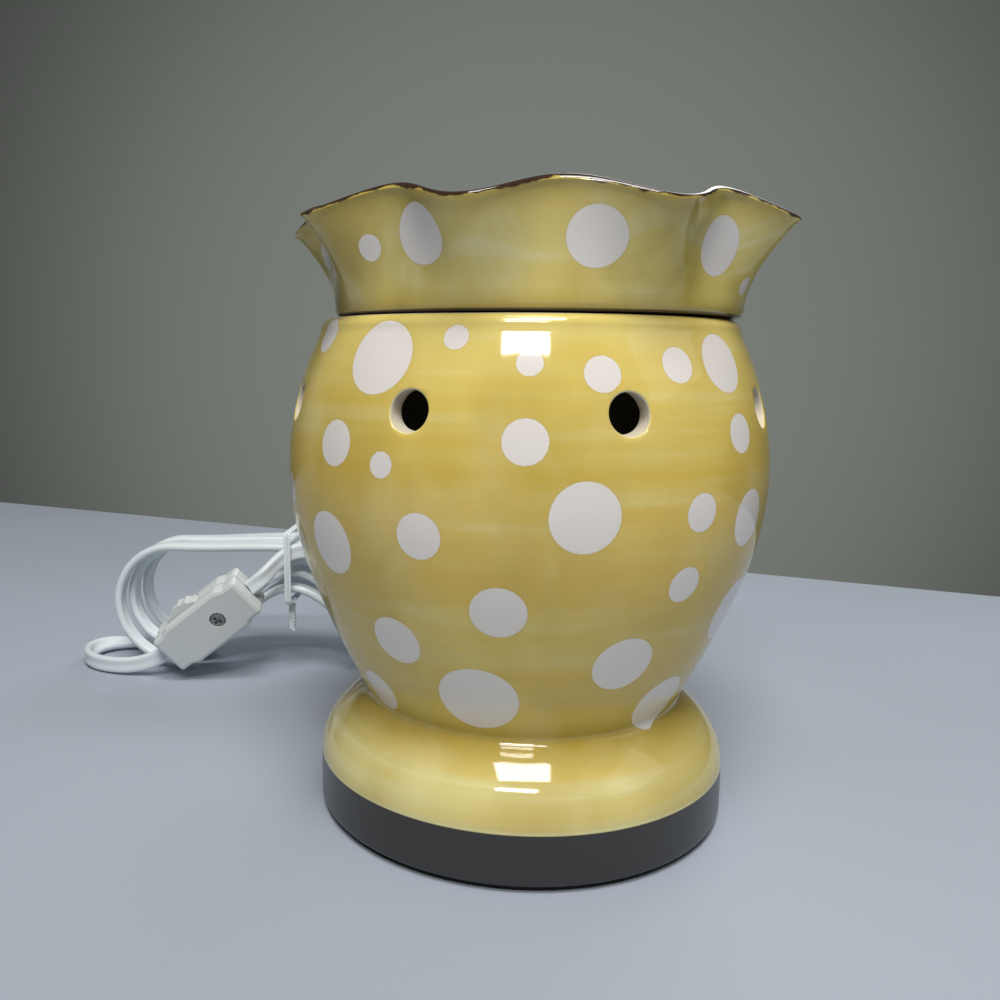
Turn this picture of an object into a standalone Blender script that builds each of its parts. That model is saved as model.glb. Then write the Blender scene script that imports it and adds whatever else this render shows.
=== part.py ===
# Bulb-type ceramic wax warmer: pierced body, lift-off scalloped dish, lamp socket, bulb and flat cord
# Metres, +Z up, origin on the axis at the underside of the base pad; the front looks along -Y
import bmesh
import bpy
import numpy as np
from math import asin, ceil, cos, pi, radians, sin
from mathutils import Matrix, Vector

MM = 0.001
GAP = 0.3 * MM

# Base pad and foot
PAD_RADIUS = 53.0 * MM
PAD_THICKNESS = 1.2 * MM
BAND_RADIUS = 55.0 * MM
BAND_HEIGHT = 12.6 * MM
BAND_EDGE_ROUND = 0.8 * MM
FOOT_SLOPE_RISE = 6.8 * MM
FOOT_SLOPE_DEPTH = 2.0 * MM
RECESS_RADIUS = 47.0 * MM
RECESS_HEIGHT = 18.0 * MM

# Body
NECK_RADIUS = 42.5 * MM
NECK_HEIGHT = 31.2 * MM
FLANK_RADIUS = 54.0 * MM
FLANK_HEIGHT = 55.0 * MM
BELLY_RADIUS = 62.6 * MM
BELLY_HEIGHT = 88.0 * MM
CHEEK_RADIUS = 58.4 * MM
CHEEK_HEIGHT = 115.5 * MM
MOUTH_RADIUS = 54.0 * MM
SEAM_HEIGHT = 129.6 * MM
MOUTH_ROUND = 3.0 * MM
WALL = 5.0 * MM
FLOOR_THICKNESS = 5.0 * MM
BODY_SEGMENTS = 56
VENT_COUNT = 8
VENT_RADIUS = 4.5 * MM
VENT_HEIGHT = 109.0 * MM
VENT_TURN = radians(20.9)

# Dish
DISH_LOBES = 9
DISH_TURN = radians(5.7)
DISH_SHIFT = 2.0 * MM
DISH_BASE_RADIUS = 52.2 * MM
DISH_RIM_RADIUS = 60.5 * MM
DISH_HEIGHT = 24.8 * MM
DISH_WAVE = 4.3 * MM
DISH_WAVE_RISE = 2.25 * MM
DISH_CREST_FLATTEN = 0.07
DISH_FLARE_POWER = 1.7
DISH_WAVE_POWER = 1.5
DISH_WALL = 4.4 * MM
DISH_FLOOR = 6.0 * MM
DISH_EDGE_ROUND = 1.8 * MM
DISH_BOWL_ROUND = 7.0 * MM
DISH_RING_DEPTH = 4.0 * MM
DISH_RING_WALL = 4.0 * MM
DISH_RING_CLEARANCE = 3.4 * MM
DISH_SEGMENTS = 108

# Lamp socket and its fixing
SOCKET_RADIUS = 19.0 * MM
SOCKET_HEIGHT = 33.0 * MM
SOCKET_WALL = 3.4 * MM
SOCKET_FLOOR = 7.0 * MM
SHELL_WALL = 0.8 * MM
SHELL_HEIGHT = 20.0 * MM
CONTACT_LENGTH = 8.0 * MM
CONTACT_WIDTH = 5.0 * MM
CONTACT_HEIGHT = 1.6 * MM
NIPPLE_RADIUS = 4.8 * MM
NIPPLE_BORE = 3.6 * MM
NIPPLE_SOCKET_REACH = 4.0 * MM
NIPPLE_TAIL = 7.0 * MM
WASHER_RADIUS = 12.0 * MM
WASHER_THICKNESS = 1.5 * MM
NUT_FLATS = 14.0 * MM
NUT_HEIGHT = 4.0 * MM

# Bulb
CAP_RADIUS = 13.0 * MM
CAP_HEIGHT = 22.0 * MM
CAP_WALL = 0.8 * MM
CAP_LIFT = 5.0 * MM
GLOBE_RADIUS = 25.0 * MM
GLASS_WALL = 0.9 * MM
GLASS_NECK_RADIUS = 11.2 * MM
GLASS_NECK_PROUD = 1.5 * MM
TIP_RADIUS = 4.6 * MM
TIP_HEIGHT = 1.8 * MM
INSULATOR_HEIGHT = 2.6 * MM
STEM_RADIUS = 4.2 * MM
STEM_HEIGHT = 24.0 * MM
FILAMENT_SPAN = 22.0 * MM
FILAMENT_RISE = 12.0 * MM
FILAMENT_WIRE = 0.45 * MM

# Flat twin cord
CORD_WIDTH = 6.0 * MM
CORD_THICKNESS = 3.0 * MM
CORD_END_GAP = 0.3 * MM
CORD_END_STRAIGHT = 3.0 * MM
EXIT_HEIGHT = 8.0 * MM
EXIT_TURN = radians(30.0)
RELIEF_REACH = 15.0 * MM
RELIEF_BORE_RADIUS = 5.0 * MM
RELIEF_TIP_RADIUS = 4.0 * MM
RELIEF_FLANGE = 1.6 * MM

# Tied hank, standing on its long edge behind the body
HANK_CENTRE_X = -86.0 * MM
HANK_FRONT_Y = 85.4 * MM
HANK_LAYERS = 4
HANK_LAYER_STEP = 6.8 * MM
HANK_RUN = 46.0 * MM
HANK_WAIST = 3.7 * MM
HANK_RISE = 14.5 * MM
HANK_LIFT = 16.0 * MM
HANK_STEP = 5.4 * MM
HANK_RUN_SHARE = 0.25
HANK_CLIMB_SHARE = 0.22
HANK_POINTS_PER_TURN = 24

# Twist tie
TIE_WIDTH = 3.0 * MM
TIE_THICKNESS = 0.9 * MM
TIE_TAIL = 11.0 * MM
TIE_CLEARANCE = 0.7 * MM
TIE_LEAD_ROOM = 0.9 * MM
TIE_SLANT_ROOM = 1.0 * MM

# In-line thumb-wheel switch
SWITCH_LENGTH = 40.0 * MM
SWITCH_WIDTH = 18.6 * MM
SWITCH_END_WIDTH = 16.0 * MM
SWITCH_THICKNESS = 13.0 * MM
SWITCH_TOP = Vector((-98.5, 70.5, 36.0)) * MM
SWITCH_SLOPE = radians(38.0)
SWITCH_HEADING = radians(4.0)
SWITCH_ROLL = radians(20.0)
SWITCH_EDGE = 1.4 * MM
WHEEL_RADIUS = 8.5 * MM
WHEEL_WIDTH = 5.0 * MM
WHEEL_PROUD = 3.0 * MM
WHEEL_CLEARANCE = 0.5 * MM
WHEEL_NOTCHES = 16
AXLE_RADIUS = 1.6 * MM
AXLE_CLEARANCE = 0.1 * MM
SCREW_PLACE = 14.5 * MM
SCREW_RADIUS = 1.4 * MM
SCREW_HEAD_RADIUS = 2.7 * MM
SCREW_HEAD = 1.8 * MM
SCREW_NUT_FLATS = 5.4 * MM
SCREW_NUT_HEIGHT = 2.2 * MM

# Plug
PLUG_LENGTH = 27.0 * MM
PLUG_FACE_WIDTH = 24.0 * MM
PLUG_TAIL_WIDTH = 11.0 * MM
PLUG_THICKNESS = 13.0 * MM
PLUG_NOSE = 4.0 * MM
BLADE_SPACING = 12.7 * MM
BLADE_LENGTH = 16.5 * MM
BLADE_SET = 6.0 * MM
BLADE_THICKNESS = 1.5 * MM
BLADE_NARROW = 6.3 * MM
BLADE_WIDE = 7.9 * MM
PLUG_PLACE = Vector((8.0, 93.4, 6.8)) * MM

# Colours from the photo, with roughness and metallic value
GLAZE_YELLOW = ((0.72, 0.55, 0.19, 1.0), 0.12, 0.0)
FELT_DARK = ((0.05, 0.05, 0.05, 1.0), 0.95, 0.0)
PHENOLIC = ((0.03, 0.03, 0.03, 1.0), 0.4, 0.0)
BRASS = ((0.78, 0.57, 0.25, 1.0), 0.3, 1.0)
STEEL = ((0.62, 0.62, 0.6, 1.0), 0.35, 1.0)
GLASS_CLEAR = ((0.9, 0.92, 0.92, 1.0), 0.05, 0.0)
WHITE_PLASTIC = ((0.82, 0.83, 0.82, 1.0), 0.4, 0.0)
CORD_WHITE = ((0.8, 0.82, 0.82, 1.0), 0.45, 0.0)

# Heights and radii that follow from the sizes above
FOOT_BOTTOM = PAD_THICKNESS + GAP
BAND_TOP = FOOT_BOTTOM + BAND_HEIGHT
RECESS_TOP = FOOT_BOTTOM + RECESS_HEIGHT
FLOOR_TOP = RECESS_TOP + FLOOR_THICKNESS
SOCKET_BASE = FLOOR_TOP + GAP
SOCKET_TOP = SOCKET_BASE + SOCKET_HEIGHT
DISH_BOTTOM = SEAM_HEIGHT + GAP
MOUTH_INNER = MOUTH_RADIUS - MOUTH_ROUND - WALL
SWITCH_ALONG = Vector((-cos(SWITCH_SLOPE) * cos(SWITCH_HEADING), cos(SWITCH_SLOPE) * sin(SWITCH_HEADING),
                       -sin(SWITCH_SLOPE)))
SWITCH_LEVEL = Vector((-sin(SWITCH_HEADING), -cos(SWITCH_HEADING), 0.0))
SWITCH_FACE = Matrix.Rotation(-SWITCH_ROLL, 3, SWITCH_ALONG) @ SWITCH_LEVEL
SWITCH_ACROSS = SWITCH_ALONG.cross(SWITCH_FACE)
RELIEF_FLANGE_RADIUS = EXIT_HEIGHT - FOOT_BOTTOM - GAP
EXIT_WAY = Vector((-sin(EXIT_TURN), cos(EXIT_TURN), 0.0))
HANK_LAST_TURN = HANK_LAYERS + HANK_RUN_SHARE
HANK_OUTER = HANK_WAIST + HANK_RISE + HANK_STEP * (1.0 + HANK_RUN_SHARE / 2)
HANK_CENTRE_Z = GAP + CORD_THICKNESS / 2 + HANK_OUTER
HANK_BACK_Y = HANK_FRONT_Y + HANK_LAYER_STEP * (HANK_LAYERS - 1)
LEAD_FRONT_Y = HANK_FRONT_Y - CORD_WIDTH / 2 - CORD_THICKNESS / 2 - GAP * 2


def clear_scene():
    for thing in list(bpy.data.objects):
        bpy.data.objects.remove(thing, do_unlink=True)


def finish_material(name, look):
    colour, roughness, metallic = look
    material = bpy.data.materials.new(name + "_finish")
    material.use_nodes = True
    shader = material.node_tree.nodes["Principled BSDF"]
    shader.inputs["Base Color"].default_value = colour
    shader.inputs["Roughness"].default_value = roughness
    shader.inputs["Metallic"].default_value = metallic
    return material


def add_object(name, data, look, smooth_angle=35.0):
    thing = bpy.data.objects.new(name, data)
    bpy.context.scene.collection.objects.link(thing)
    if look is not None:
        data.materials.append(finish_material(name, look))
    if isinstance(data, bpy.types.Mesh) and look is not None:
        data.shade_smooth()
        data.set_sharp_from_angle(angle=radians(smooth_angle))
    return thing


def mesh_from(name, work, look, smooth_angle=35.0):
    bmesh.ops.recalc_face_normals(work, faces=work.faces)
    data = bpy.data.meshes.new(name)
    work.to_mesh(data)
    work.free()
    return add_object(name, data, look, smooth_angle)


def hide_guide(thing):
    thing.hide_render = True
    thing.display_type = "WIRE"


def cut(thing, cutter, operation="DIFFERENCE"):
    hide_guide(cutter)
    step = thing.modifiers.new(operation.lower() + "_" + cutter.name, "BOOLEAN")
    step.operation = operation
    step.object = cutter


def arc(centre, radius, start, end, count):
    # Points on a circle arc in the (radius, height) plane, angles in degrees
    points = []
    for k in range(count + 1):
        angle = radians(start + (end - start) * k / count)
        points.append((centre[0] + radius * cos(angle), centre[1] + radius * sin(angle)))
    return points


def smooth_curve(route, count, start_way=None, end_way=None):
    # Even points on a cubic curve through the route, whose knots are spaced by chord length
    route = np.array(route, dtype=float)
    knots = np.concatenate([[0.0], np.cumsum(np.linalg.norm(np.diff(route, axis=0), axis=1))])
    n = len(route)
    step = np.diff(knots)
    slope = np.diff(route, axis=0) / step[:, None]
    system = np.eye(n)
    bends = np.zeros_like(route)
    for k in range(1, n - 1):
        system[k, k - 1:k + 2] = (step[k - 1], 2.0 * (step[k - 1] + step[k]), step[k])
        bends[k] = 6.0 * (slope[k] - slope[k - 1])
    if start_way is not None:
        system[0, 0:2] = (2.0 * step[0], step[0])
        bends[0] = 6.0 * (slope[0] - np.array(start_way))
    if end_way is not None:
        system[n - 1, n - 2:n] = (step[-1], 2.0 * step[-1])
        bends[n - 1] = 6.0 * (np.array(end_way) - slope[-1])
    second = np.linalg.solve(system, bends)
    points = []
    for place in np.linspace(0.0, knots[-1], count):
        k = min(int(np.searchsorted(knots, place, side="right")) - 1, n - 2)
        a = (knots[k + 1] - place) / step[k]
        b = 1.0 - a
        bend = ((a ** 3 - a) * second[k] + (b ** 3 - b) * second[k + 1]) * step[k] ** 2 / 6.0
        points.append(a * route[k] + b * route[k + 1] + bend)
    return [tuple(point) for point in points]


def turned(name, profile, segments, look, closed=True, smooth_angle=35.0):
    # Turn a closed (radius, height) outline about Z; a point on the axis becomes a pole
    work = bmesh.new()
    rings = []
    for radius, height in profile:
        if radius < 1e-7:
            rings.append([work.verts.new((0.0, 0.0, height))])
            continue
        ring = []
        for k in range(segments):
            angle = 2.0 * pi * k / segments
            ring.append(work.verts.new((radius * cos(angle), radius * sin(angle), height)))
        rings.append(ring)
    pairs = list(zip(rings, rings[1:]))
    if closed:
        pairs.append((rings[-1], rings[0]))
    for upper, lower in pairs:
        if len(upper) == 1 and len(lower) == 1:
            continue
        for k in range(segments):
            corners = [upper[k % len(upper)], upper[(k + 1) % len(upper)],
                       lower[(k + 1) % len(lower)], lower[k % len(lower)]]
            corners = list(dict.fromkeys(corners))
            work.faces.new(corners)
    return mesh_from(name, work, look, smooth_angle)


def extruded(name, outline, height, look, smooth_angle=35.0):
    # Push a flat outline up by a height, starting at z = 0
    work = bmesh.new()
    face = work.faces.new([work.verts.new((x, y, 0.0)) for x, y in outline])
    grown = bmesh.ops.extrude_face_region(work, geom=[face])
    moved = [item for item in grown["geom"] if isinstance(item, bmesh.types.BMVert)]
    bmesh.ops.translate(work, verts=moved, vec=(0.0, 0.0, height))
    return mesh_from(name, work, look, smooth_angle)


def placed(thing, across, along, out, origin):
    # Set an object's axes: local X, Y and Z to the three given directions
    matrix = Matrix((across, along, out)).transposed().to_4x4()
    matrix.translation = origin
    thing.matrix_world = matrix
    return thing


def polygon(sides, radius, turn=0.0):
    points = []
    for k in range(sides):
        angle = turn + 2.0 * pi * k / sides
        points.append((radius * cos(angle), radius * sin(angle)))
    return points


def rod(name, radius, length, look, sides=20):
    return extruded(name, polygon(sides, radius), length, look)


def base_pad():
    profile = [(0.0, PAD_THICKNESS), (PAD_RADIUS, PAD_THICKNESS), (PAD_RADIUS, 0.0), (0.0, 0.0)]
    turned("base_pad", profile, 48, FELT_DARK, closed=False)


def body_outline():
    # Outer side from the mouth down to the foot, as (radius, height)
    side = smooth_curve([(MOUTH_RADIUS, SEAM_HEIGHT - MOUTH_ROUND),
                         (CHEEK_RADIUS, CHEEK_HEIGHT),
                         (BELLY_RADIUS, BELLY_HEIGHT),
                         (FLANK_RADIUS, FLANK_HEIGHT),
                         (NECK_RADIUS, NECK_HEIGHT)], 15)
    foot = smooth_curve([(NECK_RADIUS, NECK_HEIGHT),
                         (BAND_RADIUS - FOOT_SLOPE_DEPTH, BAND_TOP + FOOT_SLOPE_RISE),
                         (BAND_RADIUS, BAND_TOP)], 7, None, (0.0, -1.0))
    lip = arc((MOUTH_RADIUS - MOUTH_ROUND, SEAM_HEIGHT - MOUTH_ROUND), MOUTH_ROUND, 90.0, 0.0, 3)
    edge = arc((BAND_RADIUS - BAND_EDGE_ROUND, FOOT_BOTTOM + BAND_EDGE_ROUND), BAND_EDGE_ROUND, 0.0, -90.0, 2)
    return lip[:-1] + side + foot[1:] + edge


def warmer_body():
    outer = body_outline()
    recess = [(RECESS_RADIUS, FOOT_BOTTOM), (RECESS_RADIUS - WALL, RECESS_TOP)]
    inner = smooth_curve([(NECK_RADIUS - WALL - FLOOR_THICKNESS, FLOOR_TOP),
                          (NECK_RADIUS - WALL, NECK_HEIGHT + FLOOR_THICKNESS),
                          (FLANK_RADIUS - WALL, FLANK_HEIGHT),
                          (BELLY_RADIUS - WALL, BELLY_HEIGHT),
                          (CHEEK_RADIUS - WALL, CHEEK_HEIGHT),
                          (MOUTH_INNER, SEAM_HEIGHT - MOUTH_ROUND)], 9)
    bore = NIPPLE_RADIUS + GAP
    floor_hole = [(bore, RECESS_TOP), (bore, FLOOR_TOP)]
    rim = [(MOUTH_INNER, SEAM_HEIGHT)]
    body = turned("warmer_body", outer + recess + floor_hole + inner + rim, BODY_SEGMENTS, GLAZE_YELLOW)
    for k in range(VENT_COUNT):
        turn = VENT_TURN + 2.0 * pi * k / VENT_COUNT
        outward = Vector((sin(turn), -cos(turn), 0.0))
        vent = rod("vent_cutter_%d" % k, VENT_RADIUS, BELLY_RADIUS, None, 16)
        level = Vector((0.0, 0.0, 1.0))
        placed(vent, level.cross(outward) * -1.0, level, outward * -1.0,
               outward * (BELLY_RADIUS + BELLY_RADIUS / 2) + level * VENT_HEIGHT)
        cut(body, vent)
    port = rod("cord_port_cutter", RELIEF_BORE_RADIUS + GAP, BAND_RADIUS, None, 20)
    upward = Vector((0.0, 0.0, 1.0))
    placed(port, upward, EXIT_WAY.cross(upward), EXIT_WAY, EXIT_WAY * RECESS_RADIUS / 2 + upward * EXIT_HEIGHT)
    cut(body, port)
    return body


def dish_wave(angle):
    turn = DISH_LOBES * (angle - DISH_TURN)
    return cos(turn) - DISH_CREST_FLATTEN * cos(2.0 * turn)


def dish_point(radius, share, height, angle):
    # One point of the fluted wall, where share runs from 0 at the foot of the dish to 1 at the rim
    # The rim stands up at the crest of each wave and turns out and down between the crests
    wave = dish_wave(angle) * share ** DISH_WAVE_POWER
    reach = radius - DISH_WAVE * wave
    return (DISH_SHIFT + reach * sin(angle), -reach * cos(angle), height + DISH_WAVE_RISE * wave)


def wax_dish():
    # Rings from the rim's outer edge down outside, under the ring that drops in the mouth, and up the bowl
    rows = []
    flare = DISH_RIM_RADIUS - DISH_BASE_RADIUS
    rim_height = DISH_BOTTOM + DISH_HEIGHT
    for k in range(6, -1, -1):
        share = k / 6
        height = DISH_BOTTOM + DISH_EDGE_ROUND + (DISH_HEIGHT - DISH_EDGE_ROUND) * share
        rows.append((DISH_BASE_RADIUS + flare * share ** DISH_FLARE_POWER, share, height))
    for radius, height in arc((DISH_BASE_RADIUS - DISH_EDGE_ROUND, DISH_BOTTOM + DISH_EDGE_ROUND),
                              DISH_EDGE_ROUND, 0.0, -90.0, 2)[1:]:
        rows.append((radius, 0.0, height))
    ring_outer = MOUTH_INNER - DISH_RING_CLEARANCE
    rows.append((ring_outer, 0.0, DISH_BOTTOM))
    rows.append((ring_outer, 0.0, DISH_BOTTOM - DISH_RING_DEPTH))
    rows.append((ring_outer - DISH_RING_WALL, 0.0, DISH_BOTTOM - DISH_RING_DEPTH))
    rows.append((ring_outer - DISH_RING_WALL, 0.0, DISH_BOTTOM))
    lower = len(rows)
    bowl_bottom = DISH_BOTTOM + DISH_FLOOR
    bowl_radius = DISH_BASE_RADIUS - DISH_WALL
    for radius, height in arc((bowl_radius - DISH_BOWL_ROUND, bowl_bottom + DISH_BOWL_ROUND),
                              DISH_BOWL_ROUND, -90.0, 0.0, 3):
        rows.append((radius, 0.0, height))
    bowl_depth = rim_height - bowl_bottom - DISH_BOWL_ROUND
    for k in range(1, 4):
        share = k / 3
        height = bowl_bottom + DISH_BOWL_ROUND + bowl_depth * share
        wide = (height - DISH_BOTTOM) / DISH_HEIGHT
        rows.append((bowl_radius + flare * wide ** DISH_FLARE_POWER, wide, height))
    work = bmesh.new()
    rings = []
    for radius, share, height in rows:
        ring = []
        for k in range(DISH_SEGMENTS):
            angle = 2.0 * pi * k / DISH_SEGMENTS
            ring.append(work.verts.new(dish_point(radius, share, height, angle)))
        rings.append(ring)
    for index, (upper, under) in enumerate(zip(rings, rings[1:] + rings[:1])):
        if index == lower - 1:
            continue
        for k in range(DISH_SEGMENTS):
            follow = (k + 1) % DISH_SEGMENTS
            work.faces.new((upper[k], upper[follow], under[follow], under[k]))
    work.faces.new(rings[lower - 1])
    work.faces.new(rings[lower])
    return mesh_from("wax_dish", work, GLAZE_YELLOW)


def lamp_socket():
    bore = SOCKET_RADIUS - SOCKET_WALL
    hole = NIPPLE_RADIUS + GAP
    floor = SOCKET_BASE + SOCKET_FLOOR
    cup = [(SOCKET_RADIUS, SOCKET_TOP), (SOCKET_RADIUS, SOCKET_BASE), (hole, SOCKET_BASE),
           (hole, floor), (bore, floor), (bore, SOCKET_TOP)]
    turned("socket_body", cup, 40, PHENOLIC)
    outer = bore - GAP
    sleeve_top = SOCKET_TOP - GAP * 4
    sleeve = [(outer, sleeve_top), (outer, sleeve_top - SHELL_HEIGHT),
              (outer - SHELL_WALL, sleeve_top - SHELL_HEIGHT), (outer - SHELL_WALL, sleeve_top)]
    turned("socket_screw_shell", sleeve, 32, BRASS)
    tongue = [(-CONTACT_LENGTH / 2, -CONTACT_WIDTH / 2), (CONTACT_LENGTH / 2, -CONTACT_WIDTH / 2),
              (CONTACT_LENGTH / 2, CONTACT_WIDTH / 2), (-CONTACT_LENGTH / 2, CONTACT_WIDTH / 2)]
    contact = extruded("socket_contact", tongue, CONTACT_HEIGHT, BRASS)
    contact.location = (0.0, 0.0, floor + GAP)
    nipple_top = SOCKET_BASE + NIPPLE_SOCKET_REACH
    nipple_end = RECESS_TOP - NIPPLE_TAIL
    tube = [(NIPPLE_RADIUS, nipple_top), (NIPPLE_RADIUS, nipple_end), (NIPPLE_BORE, nipple_end),
            (NIPPLE_BORE, nipple_top)]
    turned("socket_nipple", tube, 24, STEEL)
    washer_top = RECESS_TOP - GAP
    washer_bottom = washer_top - WASHER_THICKNESS
    disc = [(WASHER_RADIUS, washer_top), (WASHER_RADIUS, washer_bottom), (hole, washer_bottom),
            (hole, washer_top)]
    turned("nipple_washer", disc, 28, STEEL)
    nut = extruded("nipple_nut", polygon(6, NUT_FLATS / 2 / cos(pi / 6)), NUT_HEIGHT, STEEL)
    nut.location = (0.0, 0.0, washer_bottom - GAP - NUT_HEIGHT)
    cut(nut, rod("nut_cutter", hole, NUT_HEIGHT * 12, None, 24))


def bulb():
    # The bulb's parts are placed from the underside of its tip, on the warmer's axis
    floor = SOCKET_BASE + SOCKET_FLOOR
    tip_bottom = floor + GAP + CONTACT_HEIGHT + GAP
    tip = [(0.0, tip_bottom + TIP_HEIGHT), (TIP_RADIUS, tip_bottom + TIP_HEIGHT),
           (TIP_RADIUS * 0.7, tip_bottom), (0.0, tip_bottom)]
    turned("bulb_tip_contact", tip, 20, BRASS, closed=False)
    cone_bottom = tip_bottom + TIP_HEIGHT + GAP
    cone_top = cone_bottom + INSULATOR_HEIGHT
    cone_radius = CAP_RADIUS - CAP_WALL - GAP
    cone = [(0.0, cone_top), (cone_radius, cone_top), (TIP_RADIUS, cone_bottom), (0.0, cone_bottom)]
    turned("bulb_insulator", cone, 28, PHENOLIC, closed=False)
    cap_top = cone_bottom + CAP_HEIGHT
    cap = [(CAP_RADIUS, cap_top), (CAP_RADIUS, cone_bottom + INSULATOR_HEIGHT / 2),
           (CAP_RADIUS - CAP_WALL, cone_bottom + INSULATOR_HEIGHT / 2), (CAP_RADIUS - CAP_WALL, cap_top)]
    turned("bulb_screw_cap", cap, 32, BRASS)
    glass_bottom = cone_top + CAP_LIFT
    neck_top = cap_top + GLASS_NECK_PROUD
    lowest = asin(GLASS_NECK_RADIUS / GLOBE_RADIUS)
    globe_centre = neck_top + GLOBE_RADIUS * cos(lowest) + GLOBE_RADIUS / 5
    outer = arc((0.0, globe_centre), GLOBE_RADIUS, 90.0, -60.0, 9)
    outer[0] = (0.0, globe_centre + GLOBE_RADIUS)
    outer.append((GLASS_NECK_RADIUS, neck_top))
    outer.append((GLASS_NECK_RADIUS, glass_bottom))
    inner = []
    for radius, height in reversed(outer[1:-1]):
        share = (GLOBE_RADIUS - GLASS_WALL) / GLOBE_RADIUS
        if height > globe_centre - GLOBE_RADIUS * cos(lowest):
            inner.append((radius * share, globe_centre + (height - globe_centre) * share))
        else:
            inner.append((radius - GLASS_WALL, height))
    inner.insert(0, (GLASS_NECK_RADIUS - GLASS_WALL, glass_bottom))
    inner.append((0.0, globe_centre + GLOBE_RADIUS - GLASS_WALL))
    turned("bulb_glass", outer + inner, 28, GLASS_CLEAR, closed=False)
    stem_bottom = cone_top + GAP
    stem_top = stem_bottom + STEM_HEIGHT
    slim = STEM_RADIUS * 0.55
    stem = [(0.0, stem_top), (slim, stem_top), (slim, stem_bottom + STEM_HEIGHT / 2),
            (STEM_RADIUS, stem_bottom), (0.0, stem_bottom)]
    turned("bulb_stem", stem, 20, GLASS_CLEAR, closed=False)
    half = FILAMENT_SPAN / 2
    low = stem_top + GAP + FILAMENT_WIRE
    route = [(-half * 0.1, 0.0, low), (-half * 0.5, 0.0, low + FILAMENT_RISE * 0.5),
             (-half, 0.0, low + FILAMENT_RISE), (-half * 0.5, 0.0, low + FILAMENT_RISE * 0.86),
             (0.0, 0.0, low + FILAMENT_RISE), (half * 0.5, 0.0, low + FILAMENT_RISE * 0.86),
             (half, 0.0, low + FILAMENT_RISE), (half * 0.5, 0.0, low + FILAMENT_RISE * 0.5),
             (half * 0.1, 0.0, low)]
    wire = curve_tube("bulb_filament", route, FILAMENT_WIRE, 0.0, STEEL, 1)
    return wire


def curve_tube(name, points, half_thickness, half_straight, look, resolution, tilts=None):
    # A tube on a straight-sided spline; half_straight above zero makes it a flat cord on edge
    data = bpy.data.curves.new(name, "CURVE")
    data.dimensions = "3D"
    data.twist_mode = "Z_UP"
    data.bevel_depth = half_thickness
    data.extrude = half_straight
    data.bevel_resolution = resolution
    data.use_fill_caps = True
    line = data.splines.new("POLY")
    line.points.add(len(points) - 1)
    for k, point in enumerate(points):
        line.points[k].co = (point[0], point[1], point[2], 1.0)
        if tilts is not None:
            line.points[k].tilt = tilts[k]
    return add_object(name, data, look)


def tube_route(start, start_way, route, end, end_way, count):
    # A short straight stretch, square to what each end meets, and a smooth curve between
    first = start + start_way * CORD_END_STRAIGHT
    last = end - end_way * CORD_END_STRAIGHT
    middle = [tuple(first)] + route + [tuple(last)]
    return [tuple(start)] + smooth_curve(middle, count, tuple(start_way), tuple(end_way)) + [tuple(end)]


def cord_tube(name, points, tilts=None):
    half = CORD_THICKNESS / 2
    straight = (CORD_WIDTH - CORD_THICKNESS) / 2
    length = sum((Vector(b) - Vector(a)).length for a, b in zip(points, points[1:]))
    print(name, "length %.3f m" % length)
    return curve_tube(name, points, half, straight, CORD_WHITE, 2, tilts)


def strain_relief():
    # Flanged inside the foot, through the port, tapering to the cord outside
    inside = RECESS_RADIUS - WALL / 2 - RELIEF_FLANGE - WALL / 4
    outside = BAND_RADIUS + RELIEF_REACH
    profile = [(0.0, outside), (RELIEF_TIP_RADIUS, outside), (RELIEF_BORE_RADIUS, BAND_RADIUS + GAP * 4),
               (RELIEF_BORE_RADIUS, inside + RELIEF_FLANGE), (RELIEF_FLANGE_RADIUS, inside + RELIEF_FLANGE),
               (RELIEF_FLANGE_RADIUS, inside), (0.0, inside)]
    relief = turned("strain_relief", profile, 20, WHITE_PLASTIC, closed=False)
    level = Vector((0.0, 0.0, EXIT_HEIGHT))
    upward = Vector((0.0, 0.0, 1.0))
    placed(relief, upward, EXIT_WAY.cross(upward), EXIT_WAY, level)
    nipple_end = Vector((0.0, 0.0, RECESS_TOP - NIPPLE_TAIL))
    start = EXIT_WAY * (inside - CORD_END_GAP) + level
    route = [tuple(EXIT_WAY * inside * 0.45 + level * 0.65), tuple(EXIT_WAY * inside * 0.16 + level * 0.7),
             tuple(nipple_end)]
    top = Vector((0.0, 0.0, SOCKET_BASE))
    points = tube_route(start, EXIT_WAY * -1.0, route, top, upward, 16)
    curve_tube("inner_lead", points, CORD_THICKNESS / 2, 0.0, CORD_WHITE, 2)


def cord_lead():
    # Rises from the foot behind the body, lies in front of the hank under the tie and drops to the switch
    start = EXIT_WAY * (BAND_RADIUS + RELIEF_REACH + CORD_END_GAP) + Vector((0.0, 0.0, EXIT_HEIGHT))
    end = SWITCH_TOP - SWITCH_ALONG * CORD_END_GAP
    tie_top = HANK_CENTRE_Z + HANK_LIFT
    route = [(-43.5 * MM, 72.5 * MM, 11.0 * MM), (-49.5 * MM, LEAD_FRONT_Y - 2.6 * MM, 20.0 * MM),
             (-55.5 * MM, LEAD_FRONT_Y - 0.6 * MM, 31.0 * MM), (-63.0 * MM, LEAD_FRONT_Y, tie_top - 1.0 * MM),
             (-73.5 * MM, LEAD_FRONT_Y, tie_top + 5.5 * MM),
             (HANK_CENTRE_X, LEAD_FRONT_Y - 0.6 * MM, tie_top + 5.0 * MM)]
    return cord_tube("cord_lead", tube_route(start, EXIT_WAY, route, end, SWITCH_ALONG, 22))


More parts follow.
